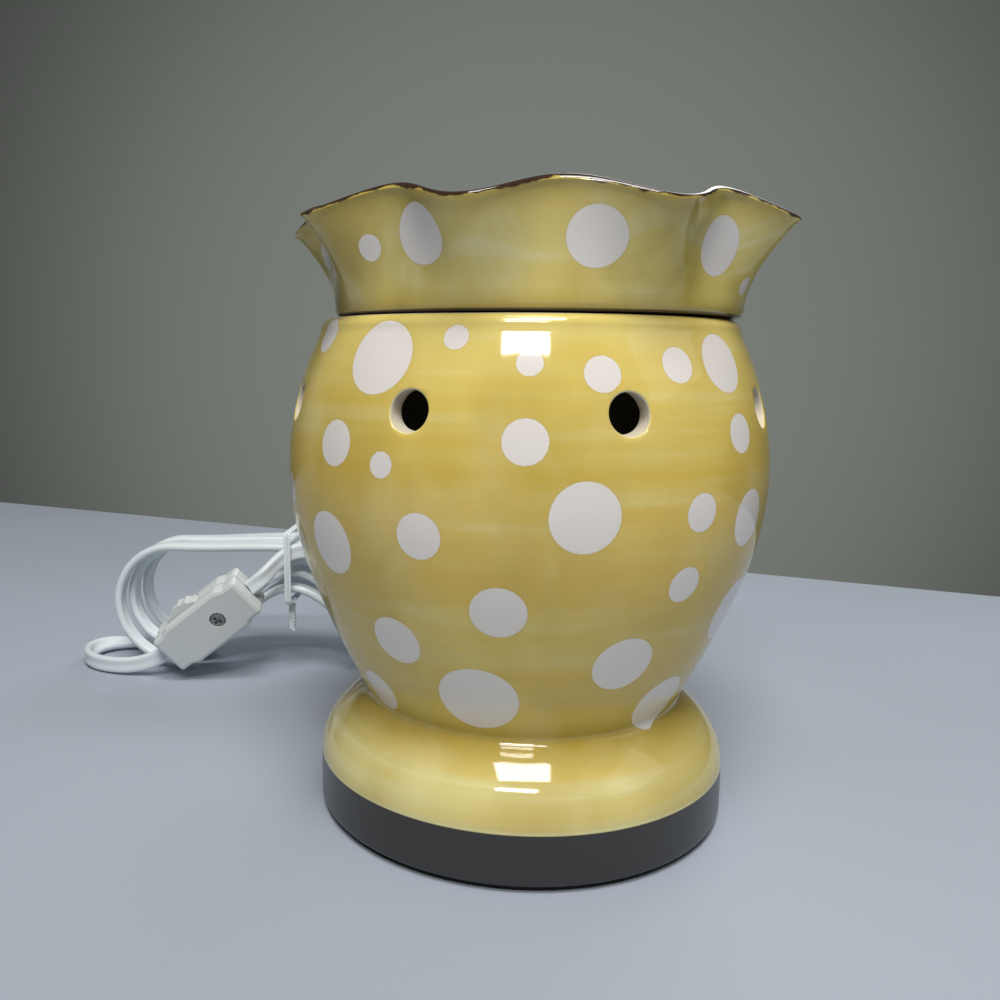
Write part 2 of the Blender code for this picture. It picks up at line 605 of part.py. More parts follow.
def hank_place(turn):
    # A point of the hank's centre line, in its own plane, after so many turns from the lower left corner
    since = turn - 1.0 - HANK_RUN_SHARE / 2
    last = HANK_LAYERS - 2
    if since < 0.0:
        out = -since
    elif since > last:
        out = since - last
    else:
        out = 1.0 - abs(since % 2.0 - 1.0)
    outer = HANK_WAIST + HANK_RISE + HANK_STEP * out
    waist = outer - HANK_RISE
    share = turn % 1.0
    side = 1.0
    if share >= 0.5:
        share -= 0.5
        side = -1.0
    if share <= HANK_RUN_SHARE:
        x = HANK_RUN * (2.0 * share / HANK_RUN_SHARE - 1.0)
        drawn = sin(0.5 * pi * x / HANK_RUN) ** 2
        return (side * x, HANK_LIFT * (1.0 - drawn) - side * (waist + HANK_RISE * drawn))
    angle = pi * (share - HANK_RUN_SHARE) / (0.5 - HANK_RUN_SHARE) - pi / 2
    return (side * (HANK_RUN + outer * cos(angle)), side * outer * sin(angle))


def hank_points(per_turn):
    count = int(ceil(HANK_LAST_TURN * per_turn))
    points = []
    for k in range(count + 1):
        turn = HANK_LAST_TURN * k / count
        x, y = hank_place(turn)
        layer = 0.0
        for change in range(1, HANK_LAYERS):
            middle = change + HANK_RUN_SHARE / 2
            climb = min(max((turn - middle) / HANK_CLIMB_SHARE + 0.5, 0.0), 1.0)
            layer += climb * climb * (3.0 - 2.0 * climb)
        points.append((x, y, HANK_LAYER_STEP * layer))
    first, final = points[0], points[-1]
    points.insert(0, (first[0] - CORD_WIDTH, first[1], first[2]))
    points.append((final[0] + CORD_WIDTH, final[1], final[2]))
    return points


def hank_least_gap(points):
    line = np.array(points)
    run = np.concatenate([[0.0], np.cumsum(np.linalg.norm(np.diff(line, axis=0), axis=1))])
    least = 1.0
    for k in range(len(line)):
        far = np.abs(run - run[k]) > 8.0 * CORD_WIDTH
        if not far.any():
            continue
        apart = line[far] - line[k]
        flat = np.maximum(np.hypot(apart[:, 0], apart[:, 1]) - CORD_THICKNESS, 0.0)
        deep = np.maximum(np.abs(apart[:, 2]) - CORD_WIDTH, 0.0)
        least = min(least, float(np.hypot(flat, deep).min()))
    return least


def cord_hank():
    points = hank_points(HANK_POINTS_PER_TURN)
    length = sum((Vector(b) - Vector(a)).length for a, b in zip(points, points[1:]))
    least = hank_least_gap(hank_points(96)) / MM
    print("cord_hank length %.3f m, least gap to itself %.2f mm" % (length, least))
    straight = (CORD_WIDTH - CORD_THICKNESS) / 2
    hank = curve_tube("cord_hank", points, CORD_THICKNESS / 2, straight, CORD_WHITE, 1)
    hank.location = (HANK_CENTRE_X, HANK_BACK_Y, HANK_CENTRE_Z)
    hank.rotation_euler = (pi / 2, 0.0, 0.0)
    return hank


def cord_link():
    # From the switch's lower end, round the left of the hank, turning flat before it joins the first turn
    start = SWITCH_TOP + SWITCH_ALONG * (SWITCH_LENGTH + CORD_END_GAP)
    join_x = HANK_CENTRE_X - HANK_RUN - CORD_WIDTH - CORD_END_GAP
    join_z = HANK_CENTRE_Z - HANK_OUTER
    end = Vector((join_x, HANK_BACK_Y, join_z))
    edge = CORD_WIDTH / 2 + GAP
    route = [(-142.0 * MM, 73.6 * MM, edge * 1.5), (-154.0 * MM, 75.5 * MM, edge),
             (-164.5 * MM, 80.5 * MM, edge), (-170.0 * MM, 90.0 * MM, edge), (-166.5 * MM, 100.5 * MM, edge),
             (-157.0 * MM, HANK_BACK_Y - 0.4 * MM, edge * 0.7)]
    count = 20
    points = tube_route(start, SWITCH_ALONG, route, end, Vector((1.0, 0.0, 0.0)), count)
    tilts = []
    for k in range(len(points)):
        share = min(max((k / count - 0.5) / 0.3, 0.0), 1.0)
        tilts.append(0.5 * pi * share)
    return cord_tube("cord_link", points, tilts)


def cord_tail():
    start_x = HANK_CENTRE_X + HANK_RUN + CORD_WIDTH + CORD_END_GAP
    start_z = HANK_CENTRE_Z - HANK_OUTER
    along = Vector((1.0, 0.0, 0.0))
    start = Vector((start_x, HANK_FRONT_Y, start_z))
    end = PLUG_PLACE - along * CORD_END_GAP
    points = tube_route(start, along, [tuple((start + end) / 2)], end, along, 12)
    return cord_tube("cord_tail", points, [0.5 * pi] * len(points))


def twist_tie():
    # A strip once round the waist of the hank and the lead, with its two ends side by side below
    half = TIE_THICKNESS / 2
    room = TIE_CLEARANCE + half
    reach_z = HANK_OUTER - HANK_RISE + CORD_THICKNESS / 2 + TIE_SLANT_ROOM + room
    front = LEAD_FRONT_Y - CORD_THICKNESS / 2 - TIE_LEAD_ROOM - room
    back = HANK_BACK_Y + CORD_WIDTH / 2 + room
    corner = CORD_THICKNESS / 2
    top = HANK_CENTRE_Z + HANK_LIFT + reach_z
    bottom = HANK_CENTRE_Z + HANK_LIFT - reach_z
    near = front + TIE_THICKNESS * 6
    far = near + TIE_THICKNESS * 2
    path = [(near, bottom - TIE_TAIL), (near, bottom - TIE_TAIL / 2)]
    path += arc((near - corner, bottom - corner), corner, 0.0, 90.0, 3)
    path += arc((front + corner, bottom + corner), corner, 270.0, 180.0, 3)
    path += arc((front + corner, top - corner), corner, 180.0, 90.0, 3)
    path += arc((back - corner, top - corner), corner, 90.0, 0.0, 3)
    path += arc((back - corner, bottom + corner), corner, 0.0, -90.0, 3)
    path += arc((far + corner, bottom - corner), corner, 90.0, 180.0, 3)
    path += [(far, bottom - TIE_TAIL / 2), (far, bottom - TIE_TAIL)]
    points = [(HANK_CENTRE_X, y, z) for y, z in path]
    return curve_tube("twist_tie", points, half, (TIE_WIDTH - TIE_THICKNESS) / 2, CORD_WHITE, 1,
                      [0.5 * pi] * len(points))


def switch_frame(along, across, out):
    return SWITCH_TOP + SWITCH_ALONG * along + SWITCH_ACROSS * across + SWITCH_FACE * out


def switch_outline():
    # Half the case is wide; both ends are narrower, with a slant between
    wide = SWITCH_WIDTH / 2
    end = SWITCH_END_WIDTH / 2
    slant = SWITCH_LENGTH / 5
    flat = SWITCH_LENGTH / 8
    return [(-end, 0.0), (end, 0.0), (end, flat), (wide, slant), (wide, SWITCH_LENGTH - slant),
            (end, SWITCH_LENGTH - flat), (end, SWITCH_LENGTH), (-end, SWITCH_LENGTH),
            (-end, SWITCH_LENGTH - flat), (-wide, SWITCH_LENGTH - slant), (-wide, slant), (-end, flat)]


def inline_switch():
    half = SWITCH_THICKNESS / 2
    wheel_along = SWITCH_LENGTH * 0.6
    wheel_across = SWITCH_WIDTH / 2 + WHEEL_PROUD - WHEEL_RADIUS
    pocket = WHEEL_WIDTH / 2 + WHEEL_CLEARANCE
    for name, low, high in (("switch_front_shell", GAP / 2, half), ("switch_rear_shell", -half, -GAP / 2)):
        shell = extruded(name, switch_outline(), high - low, WHITE_PLASTIC)
        placed(shell, SWITCH_ACROSS, SWITCH_ALONG, SWITCH_FACE, switch_frame(0.0, 0.0, low))
        soften = shell.modifiers.new("edge", "BEVEL")
        soften.width = SWITCH_EDGE
        soften.segments = 2
        soften.limit_method = "ANGLE"
        room = rod(name + "_wheel_cutter", WHEEL_RADIUS + WHEEL_CLEARANCE, pocket * 2, None, 24)
        placed(room, SWITCH_ACROSS, SWITCH_ALONG, SWITCH_FACE,
               switch_frame(wheel_along, wheel_across, -pocket))
        cut(shell, room)
        bore = rod(name + "_axle_cutter", AXLE_RADIUS + GAP, SWITCH_THICKNESS * 0.7, None, 20)
        placed(bore, SWITCH_ACROSS, SWITCH_ALONG, SWITCH_FACE,
               switch_frame(wheel_along, wheel_across, -SWITCH_THICKNESS * 0.35))
        cut(shell, bore)
        hole = rod(name + "_screw_cutter", SCREW_RADIUS + GAP, SWITCH_THICKNESS * 2, None, 16)
        placed(hole, SWITCH_ACROSS, SWITCH_ALONG, SWITCH_FACE,
               switch_frame(SCREW_PLACE, 0.0, -SWITCH_THICKNESS))
        cut(shell, hole)
        if low > 0.0:
            seat = rod(name + "_head_cutter", SCREW_HEAD_RADIUS + GAP, SWITCH_THICKNESS, None, 20)
            placed(seat, SWITCH_ACROSS, SWITCH_ALONG, SWITCH_FACE,
                   switch_frame(SCREW_PLACE, 0.0, half - SCREW_HEAD))
        else:
            seat = extruded(name + "_nut_cutter", polygon(6, SCREW_NUT_FLATS / 2 / cos(pi / 6) + GAP),
                            SWITCH_THICKNESS, None)
            placed(seat, SWITCH_ACROSS, SWITCH_ALONG, SWITCH_FACE,
                   switch_frame(SCREW_PLACE, 0.0, -half + SCREW_NUT_HEIGHT - SWITCH_THICKNESS))
        cut(shell, seat)
    outline = []
    for k in range(WHEEL_NOTCHES * 2):
        angle = pi * k / WHEEL_NOTCHES
        radius = WHEEL_RADIUS if k % 2 == 0 else WHEEL_RADIUS - WHEEL_CLEARANCE
        outline.append((radius * cos(angle), radius * sin(angle)))
    wheel = extruded("switch_wheel", outline, WHEEL_WIDTH, WHITE_PLASTIC, 20.0)
    placed(wheel, SWITCH_ACROSS, SWITCH_ALONG, SWITCH_FACE,
           switch_frame(wheel_along, wheel_across, -WHEEL_WIDTH / 2))
    eye = rod("wheel_bore_cutter", AXLE_RADIUS + AXLE_CLEARANCE, WHEEL_WIDTH * 3, None, 20)
    placed(eye, SWITCH_ACROSS, SWITCH_ALONG, SWITCH_FACE,
           switch_frame(wheel_along, wheel_across, -WHEEL_WIDTH * 1.5))
    cut(wheel, eye)
    reach = SWITCH_THICKNESS * 0.35 - GAP
    axle = rod("switch_axle", AXLE_RADIUS, reach * 2, STEEL, 20)
    placed(axle, SWITCH_ACROSS, SWITCH_ALONG, SWITCH_FACE, switch_frame(wheel_along, wheel_across, -reach))
    head = half - SCREW_HEAD + GAP
    low = -half + GAP
    shaft = head - low
    profile = [(0.0, shaft + SCREW_HEAD - GAP), (SCREW_HEAD_RADIUS, shaft + SCREW_HEAD * 0.7),
               (SCREW_HEAD_RADIUS, shaft), (SCREW_RADIUS, shaft), (SCREW_RADIUS, 0.0), (0.0, 0.0)]
    screw = turned("switch_screw", profile, 20, STEEL, closed=False)
    placed(screw, SWITCH_ACROSS, SWITCH_ALONG, SWITCH_FACE, switch_frame(SCREW_PLACE, 0.0, low))
    nut = extruded("switch_nut", polygon(6, SCREW_NUT_FLATS / 2 / cos(pi / 6)), SCREW_NUT_HEIGHT - GAP * 2,
                   STEEL)
    placed(nut, SWITCH_ACROSS, SWITCH_ALONG, SWITCH_FACE, switch_frame(SCREW_PLACE, 0.0, -half + GAP))
    pierce = rod("switch_nut_cutter", SCREW_RADIUS + GAP, SWITCH_THICKNESS, None, 16)
    placed(pierce, SWITCH_ACROSS, SWITCH_ALONG, SWITCH_FACE, switch_frame(SCREW_PLACE, 0.0, -SWITCH_THICKNESS))
    cut(nut, pierce)


def mains_plug():
    # Moulded plug lying flat, blades along +X
    tail = PLUG_TAIL_WIDTH / 2
    face = PLUG_FACE_WIDTH / 2
    outline = [(0.0, -tail), (PLUG_LENGTH * 0.35, -tail), (PLUG_LENGTH * 0.75, -face), (PLUG_LENGTH, -face),
               (PLUG_LENGTH, face), (PLUG_LENGTH * 0.75, face), (PLUG_LENGTH * 0.35, tail), (0.0, tail)]
    body = extruded("plug_body", outline, PLUG_THICKNESS, WHITE_PLASTIC)
    body.location = PLUG_PLACE - Vector((0.0, 0.0, PLUG_THICKNESS / 2))
    soften = body.modifiers.new("edge", "BEVEL")
    soften.width = PLUG_NOSE * 0.5
    soften.segments = 2
    soften.limit_method = "ANGLE"
    for name, side, width in (("plug_blade_narrow", -1.0, BLADE_NARROW), ("plug_blade_wide", 1.0, BLADE_WIDE)):
        # Each blade is set into a slot in the plug's face
        half = BLADE_THICKNESS / 2
        rounding = width / 4
        reach = BLADE_SET + BLADE_LENGTH
        strip = [(0.0, -width / 2), (reach - rounding, -width / 2),
                 (reach, -width / 2 + rounding), (reach, width / 2 - rounding),
                 (reach - rounding, width / 2), (0.0, width / 2)]
        blade = extruded(name, strip, BLADE_THICKNESS, BRASS)
        root = PLUG_PLACE + Vector((PLUG_LENGTH - BLADE_SET, side * BLADE_SPACING / 2 + half, 0.0))
        placed(blade, Vector((1.0, 0.0, 0.0)), Vector((0.0, 0.0, 1.0)), Vector((0.0, -1.0, 0.0)), root)
        high = width / 2 + GAP
        hollow = [(-GAP, -high), (reach, -high), (reach, high), (-GAP, high)]
        slot = extruded(name + "_slot", hollow, BLADE_THICKNESS + 2.0 * GAP, None)
        mouth = root + Vector((0.0, GAP, 0.0))
        placed(slot, Vector((1.0, 0.0, 0.0)), Vector((0.0, 0.0, 1.0)), Vector((0.0, -1.0, 0.0)), mouth)
        cut(body, slot)


def main():
    clear_scene()
    base_pad()
    warmer_body()
    wax_dish()
    lamp_socket()
    bulb()
    strain_relief()
    cord_lead()
    cord_hank()
    cord_link()
    cord_tail()
    twist_tie()
    inline_switch()
    mains_plug()


main()
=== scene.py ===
# Dresses the wax warmer: glazed body and dish, bulb, flat lead with its switch, tie and plug, and a table
from collections import namedtuple
from math import cos, pi, radians, sin, tau
from random import Random

import bpy
import numpy as np
from mathutils import Matrix, Vector


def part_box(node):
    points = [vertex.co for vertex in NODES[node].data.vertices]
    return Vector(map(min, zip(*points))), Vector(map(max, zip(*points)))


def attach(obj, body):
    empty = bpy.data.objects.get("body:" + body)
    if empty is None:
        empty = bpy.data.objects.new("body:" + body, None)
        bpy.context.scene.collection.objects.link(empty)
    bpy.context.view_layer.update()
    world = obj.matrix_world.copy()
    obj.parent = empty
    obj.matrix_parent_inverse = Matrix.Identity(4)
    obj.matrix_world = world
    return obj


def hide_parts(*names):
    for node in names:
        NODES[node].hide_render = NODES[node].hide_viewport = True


bl_info = {
    "name": "Wax Warmer",
    "version": (1, 0, 0),
    "blender": (4, 5, 0),
    "location": "View3D > Sidebar > Warmer",
    "description": "Builds a glazed wax warmer with its dish, bulb, lead and table",
    "category": "Object",
}

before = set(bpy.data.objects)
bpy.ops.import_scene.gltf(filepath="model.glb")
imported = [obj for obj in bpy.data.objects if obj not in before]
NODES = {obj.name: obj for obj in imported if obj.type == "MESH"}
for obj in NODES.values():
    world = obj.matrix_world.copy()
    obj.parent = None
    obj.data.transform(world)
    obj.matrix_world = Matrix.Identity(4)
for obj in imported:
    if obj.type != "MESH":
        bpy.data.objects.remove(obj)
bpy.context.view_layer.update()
MM = 0.001
POINT_MERGE = 0.002 * MM
UPWARD = Vector((0.0, 0.0, 1.0))
EVEN = (1.0, 1.0, 1.0)


# Settings that a user may change


def length(name, description, default):
    return bpy.props.FloatProperty(
        name=name, description=description, default=default, unit="LENGTH", precision=5)


def colour(name, description, default):
    return bpy.props.FloatVectorProperty(
        name=name, description=description, default=default, subtype="COLOR", size=4, min=0.0, max=1.0)


class WarmerSizes(bpy.types.PropertyGroup):
    foot_bottom: length("Foot underside", "Height of the ceramic foot above the table", 1.5 * MM)
    band_radius: length("Band radius", "Radius of the upright band round the foot", 55.0 * MM)
    band_top: length("Band top", "Height where the dark band ends", 14.1 * MM)
    slope_radius: length("Foot slope radius", "Radius partway up the foot's dome", 53.0 * MM)
    slope_height: length("Foot slope height", "Height partway up the foot's dome", 20.9 * MM)
    neck_radius: length("Neck radius", "Radius of the neck over the foot", 42.5 * MM)
    neck_height: length("Neck height", "Height of the neck", 31.2 * MM)
    flank_radius: length("Flank radius", "Radius halfway up to the belly", 54.0 * MM)
    flank_height: length("Flank height", "Height of the flank", 55.0 * MM)
    belly_radius: length("Belly radius", "Largest radius of the body", 62.6 * MM)
    belly_height: length("Belly height", "Height of the belly", 88.0 * MM)
    cheek_radius: length("Cheek radius", "Radius above the vents", 58.4 * MM)
    cheek_height: length("Cheek height", "Height of the cheek", 115.5 * MM)
    mouth_radius: length("Mouth radius", "Outer radius at the mouth", 54.0 * MM)
    mouth_height: length("Mouth height", "Height of the body's mouth", 129.6 * MM)
    mouth_round: length("Mouth round", "Radius of the mouth's outer edge", 3.0 * MM)
    wall: length("Wall", "Thickness of the ceramic wall", 5.0 * MM)
    floor_height: length("Floor height", "Height of the floor inside", 24.5 * MM)
    recess_radius: length("Recess radius", "Radius of the hollow under the foot", 47.0 * MM)
    recess_top: length("Recess top", "Height of the hollow under the foot", 19.5 * MM)
    vent_radius: length("Vent radius", "Radius of a vent hole", 4.5 * MM)
    vent_height: length("Vent height", "Height of the ring of vents", 109.0 * MM)
    vent_lip: length("Vent lip", "Radius of the rounded edge of a vent", 1.1 * MM)
    dish_shift: length("Dish shift", "How far the loose dish sits to the right", 2.0 * MM)
    dish_bottom: length("Dish underside", "Height of the dish's underside", 129.9 * MM)
    dish_base_radius: length("Dish base radius", "Radius of the dish where it meets the body", 52.2 * MM)
    dish_rim_radius: length("Dish rim radius", "Mean radius of the rim", 60.5 * MM)
    dish_height: length("Dish height", "Mean height of the rim above the underside", 24.8 * MM)
    dish_wave: length("Dish wave", "How far the flutes swing in and out at the rim", 4.3 * MM)
    dish_wave_rise: length("Dish wave rise", "How far the rim rises at a crest", 2.25 * MM)
    dish_rim_wall: length("Dish rim wall", "Thickness of the rim", 2.2 * MM)
    dish_wall: length("Dish wall", "Thickness of the dish's wall", 4.4 * MM)
    dish_floor: length("Dish floor", "Thickness of the dish's floor", 6.0 * MM)
    globe_radius: length("Bulb radius", "Radius of the bulb's globe", 25.0 * MM)
    bulb_neck_radius: length("Bulb neck radius", "Radius of the bulb's neck", 11.2 * MM)
    glass_wall: length("Glass wall", "Thickness of the bulb's glass", 0.9 * MM)
    screw_head: length("Screw head", "Width of the switch screw's head", 5.4 * MM)
    cord_width: length("Cord width", "Width of the flat twin cord", 6.0 * MM)
    cord_thickness: length("Cord thickness", "Thickness of the flat twin cord", 3.0 * MM)


class WarmerColours(bpy.types.PropertyGroup):
    glaze: colour("Glaze", "Butter-yellow glaze", (0.72, 0.51, 0.10, 1.0))
    # Also the paler tone over the shoulder, partly painted sheen where it faces the lights
    glaze_pale: colour("Pale glaze", "Glaze where it was brushed thin", (0.76, 0.64, 0.21, 1.0))
    # Also the painted shade in the crease over the foot and along the dish's seam
    glaze_deep: colour("Deep glaze", "Glaze where it pooled", (0.44, 0.32, 0.055, 1.0))
    glaze_edge: colour("Edge glaze", "Thin glaze along edges", (0.82, 0.76, 0.42, 1.0))
    # Partly painted sheen on the foot's slope, where it faces the lights
    glaze_foot: colour("Foot glaze", "Thin pale glaze on the foot", (0.69, 0.63, 0.29, 1.0))
    dots: colour("Dots", "Painted dots", (0.80, 0.75, 0.71, 1.0))
    rim: colour("Rim", "Brown glaze in the dish and on its rim", (0.045, 0.024, 0.014, 1.0))
    band: colour("Band", "Dark band round the foot", (0.028, 0.027, 0.026, 1.0))
    bisque: colour("Bisque", "Bare clay inside and in the vents", (0.66, 0.60, 0.48, 1.0))
    cord: colour("Cord", "White cord insulation", (0.72, 0.78, 0.82, 1.0))
    plastic: colour("Plastic", "White moulded plastic", (0.66, 0.70, 0.70, 1.0))
    table: colour("Table", "Pale table cover", (0.36, 0.405, 0.475, 1.0))
    room: colour("Room", "Grey room behind", (0.19, 0.205, 0.185, 1.0))


# Node helpers


def new_material(name, colour_value, roughness, metallic=0.0):
    material = bpy.data.materials.new(name)
    material.use_nodes = True
    shader = material.node_tree.nodes["Principled BSDF"]
    shader.inputs["Base Color"].default_value = colour_value
    shader.inputs["Roughness"].default_value = roughness
    shader.inputs["Metallic"].default_value = metallic
    return material, material.node_tree, shader


def add_node(tree, kind, **settings):
    node = tree.nodes.new(kind)
    for key, value in settings.items():
        setattr(node, key, value)
    return node


def mix_colours(tree, factor, first, second):
    mix = add_node(tree, "ShaderNodeMix", data_type="RGBA")
    for socket, value in ((mix.inputs[0], factor), (mix.inputs[6], first), (mix.inputs[7], second)):
        if isinstance(value, bpy.types.NodeSocket):
            tree.links.new(value, socket)
        else:
            socket.default_value = value
    return mix.outputs[2]


def remap(tree, value, from_low, from_high, to_low=0.0, to_high=1.0, smooth=False):
    node = add_node(tree, "ShaderNodeMapRange", interpolation_type="SMOOTHSTEP" if smooth else "LINEAR")
    tree.links.new(value, node.inputs["Value"])
    node.inputs["From Min"].default_value = from_low
    node.inputs["From Max"].default_value = from_high
    node.inputs["To Min"].default_value = to_low
    node.inputs["To Max"].default_value = to_high
    return node.outputs["Result"]


def attribute(tree, name):
    return add_node(tree, "ShaderNodeAttribute", attribute_name=name).outputs["Fac"]


def object_place(tree):
    return add_node(tree, "ShaderNodeTexCoord").outputs["Object"]


def multiply(tree, first, second):
    node = add_node(tree, "ShaderNodeMath", operation="MULTIPLY")
    tree.links.new(first, node.inputs[0])
    tree.links.new(second, node.inputs[1])
    return node.outputs[0]


def multiply_add(tree, first, second, third, clamp=False):
    """First times second plus third, where second may be a plain number"""
    node = add_node(tree, "ShaderNodeMath", operation="MULTIPLY_ADD", use_clamp=clamp)
    tree.links.new(first, node.inputs[0])
    if isinstance(second, bpy.types.NodeSocket):
        tree.links.new(second, node.inputs[1])
    else:
        node.inputs[1].default_value = second
    tree.links.new(third, node.inputs[2])
    return node.outputs[0]


def stretched_noise(tree, place, scale, detail, stretch):
    mapping = add_node(tree, "ShaderNodeMapping")
    mapping.inputs["Scale"].default_value = stretch
    tree.links.new(place, mapping.inputs["Vector"])
    noise = add_node(tree, "ShaderNodeTexNoise")
    noise.inputs["Scale"].default_value = scale
    noise.inputs["Detail"].default_value = detail
    tree.links.new(mapping.outputs["Vector"], noise.inputs["Vector"])
    return noise.outputs["Fac"]


def bump(tree, shader, height, distance, strength):
    node = add_node(tree, "ShaderNodeBump")
    node.inputs["Strength"].default_value = strength
    node.inputs["Distance"].default_value = distance
    tree.links.new(height, node.inputs["Height"])
    tree.links.new(node.outputs["Normal"], shader.inputs["Normal"])


def group_with_sockets(name, inputs, outputs):
    group = bpy.data.node_groups.new(name, "ShaderNodeTree")
    for label, kind, value in inputs:
        socket = group.interface.new_socket(name=label, in_out="INPUT", socket_type=kind)
        if value is not None:
            socket.default_value = value
    for label, kind in outputs:
        group.interface.new_socket(name=label, in_out="OUTPUT", socket_type=kind)
    return group, group.nodes.new("NodeGroupInput"), group.nodes.new("NodeGroupOutput")


STROKE_LEAN = 0.6


def brush_way(tree, place):
    """Coordinates whose last one runs up the wall and in over a slope, so strokes go round the piece"""
    split = add_node(tree, "ShaderNodeSeparateXYZ")
    tree.links.new(place, split.inputs["Vector"])
    level = add_node(tree, "ShaderNodeVectorMath", operation="MULTIPLY")
    tree.links.new(place, level.inputs[0])
    level.inputs[1].default_value = (1.0, 1.0, 0.0)
    reach = add_node(tree, "ShaderNodeVectorMath", operation="LENGTH")
    tree.links.new(level.outputs["Vector"], reach.inputs[0])
    rise = multiply_add(tree, reach.outputs["Value"], -STROKE_LEAN, split.outputs["Z"])
    joined = add_node(tree, "ShaderNodeCombineXYZ")
    tree.links.new(split.outputs["X"], joined.inputs["X"])
    tree.links.new(split.outputs["Y"], joined.inputs["Y"])
    tree.links.new(rise, joined.inputs["Z"])
    return joined.outputs["Vector"]


def brushed_glaze_group():
    """Yellow glaze laid on with a brush: streaks round the piece, thin places and a soft ripple"""
    group, given, result = group_with_sockets(
        "brushed glaze",
        [("Place", "NodeSocketVector", None), ("Full", "NodeSocketColor", None),
         ("Thin", "NodeSocketColor", None), ("Streaks", "NodeSocketFloat", 0.6)],
        [("Colour", "NodeSocketColor"), ("Strokes", "NodeSocketFloat"), ("Ripple", "NodeSocketFloat"),
         ("Dull", "NodeSocketFloat")])
    place = given.outputs["Place"]
    streak = stretched_noise(group, brush_way(group, place), 14.0, 5.0, (1.0, 1.0, 16.0))
    group.links.new(streak, result.inputs["Strokes"])
    cloud = stretched_noise(group, place, 22.0, 3.0, (1.0, 1.0, 1.6))
    blend = multiply(group, remap(group, streak, 0.38, 0.68), remap(group, cloud, 0.30, 0.72, 0.25, 1.0))
    amount = multiply(group, blend, given.outputs["Streaks"])
    shade = mix_colours(group, amount, given.outputs["Full"], given.outputs["Thin"])
    group.links.new(shade, result.inputs["Colour"])
    ripple = stretched_noise(group, place, 90.0, 2.0, (1.0, 1.0, 1.4))
    group.links.new(ripple, result.inputs["Ripple"])
    group.links.new(remap(group, cloud, 0.3, 0.7, 0.035, 0.08), result.inputs["Dull"])
    return group


def moulded_grain_group():
    """Fine grain as a height, and a patchy roughness, for plastic, felt, paper and metal"""
    group, given, result = group_with_sockets(
        "moulded grain",
        [("Place", "NodeSocketVector", None), ("Low", "NodeSocketFloat", 0.35),
         ("High", "NodeSocketFloat", 0.5)],
        [("Height", "NodeSocketFloat"), ("Roughness", "NodeSocketFloat")])
    place = given.outputs["Place"]
    group.links.new(stretched_noise(group, place, 2600.0, 2.0, EVEN), result.inputs["Height"])
    patch = stretched_noise(group, place, 140.0, 3.0, EVEN)
    spread = add_node(group, "ShaderNodeMapRange")
    group.links.new(patch, spread.inputs["Value"])
    spread.inputs["From Min"].default_value = 0.3
    spread.inputs["From Max"].default_value = 0.7
    group.links.new(given.outputs["Low"], spread.inputs["To Min"])
    group.links.new(given.outputs["High"], spread.inputs["To Max"])
    group.links.new(spread.outputs["Result"], result.inputs["Roughness"])
    return group


GROUPS = {}


def use_group(tree, name, maker):
    """A node for a shared group, which is made at its first use"""
    if name not in GROUPS:
        GROUPS[name] = maker()
    node = add_node(tree, "ShaderNodeGroup", node_tree=GROUPS[name])
    tree.links.new(object_place(tree), node.inputs["Place"])
    return node


def grained_material(name, colour_value, roughness_range, metallic, depth, strength):
    low, high = roughness_range
    material, tree, shader = new_material(name, colour_value, low, metallic)
    grain = use_group(tree, "moulded grain", moulded_grain_group)
    grain.inputs["Low"].default_value = low
    grain.inputs["High"].default_value = high
    tree.links.new(grain.outputs["Roughness"], shader.inputs["Roughness"])
    bump(tree, shader, grain.outputs["Height"], depth, strength)
    return material


PLASTIC_GRAIN = 0.02 * MM
FELT_GRAIN = 0.3 * MM
PAPER_GRAIN = 0.05 * MM
METAL_GRAIN = 0.01 * MM
GLAZE_RIPPLE = 0.12 * MM
WEAVE_GRAIN = 0.2 * MM


def moulded_material(name, colour_value, low, high, depth=PLASTIC_GRAIN):
    return grained_material(name, colour_value, (low, high), 0.0, depth, 0.35)


def metal_material(name, colour_value, low, high):
    return grained_material(name, colour_value, (low, high), 1.0, METAL_GRAIN, 0.3)


def distance_from(tree, value, centre):
    """How far a value is from a centre"""
    apart = add_node(tree, "ShaderNodeMath", operation="SUBTRACT")
    tree.links.new(value, apart.inputs[0])
    apart.inputs[1].default_value = centre
    size = add_node(tree, "ShaderNodeMath", operation="ABSOLUTE")
    tree.links.new(apart.outputs[0], size.inputs[0])
    return size.outputs[0]


# Where the glaze changes and where painted sheen and shade lie, as heights in metres, and how far it fades
# from an edge in millimetres
# Paler glaze above the belly, low on the flank and on the foot; on the shoulder and the foot's slope it is
# partly painted sheen
SHOULDER_PALE = (95.0 * MM, 135.0 * MM)
FLANK_PALE = (45.0 * MM, 30.0 * MM)
FOOT_PALE = (30.0 * MM, 23.0 * MM)
# Painted shade in the crease over the foot, where the belly shades it: darkest at this height, fading out
# over 8 mm
CREASE_HEIGHT = 30.6 * MM
CREASE_SHADE = (8.0 * MM, 0.5 * MM)
RIM_RAGGED_FROM = (140.0 * MM, 148.0 * MM)
RIM_RAGGED = 0.4
GLAZE_IOR = 1.58
CLAY_DULL = 0.6
GlazeLook = namedtuple("GlazeLook", "streaks pooled thinned edge_fade edge_amount dark_dull")
BODY_LOOK = GlazeLook(streaks=0.75, pooled=0.40, thinned=0.22,
                      edge_fade=1.2, edge_amount=0.35, dark_dull=0.22)
# On the dish the pooled patches are strong partly as painted shade: besides real mottling they darken the
# flared dish overall
DISH_LOOK = GlazeLook(streaks=1.0, pooled=0.85, thinned=0.65,
                      edge_fade=5.0, edge_amount=0.55, dark_dull=0.05)


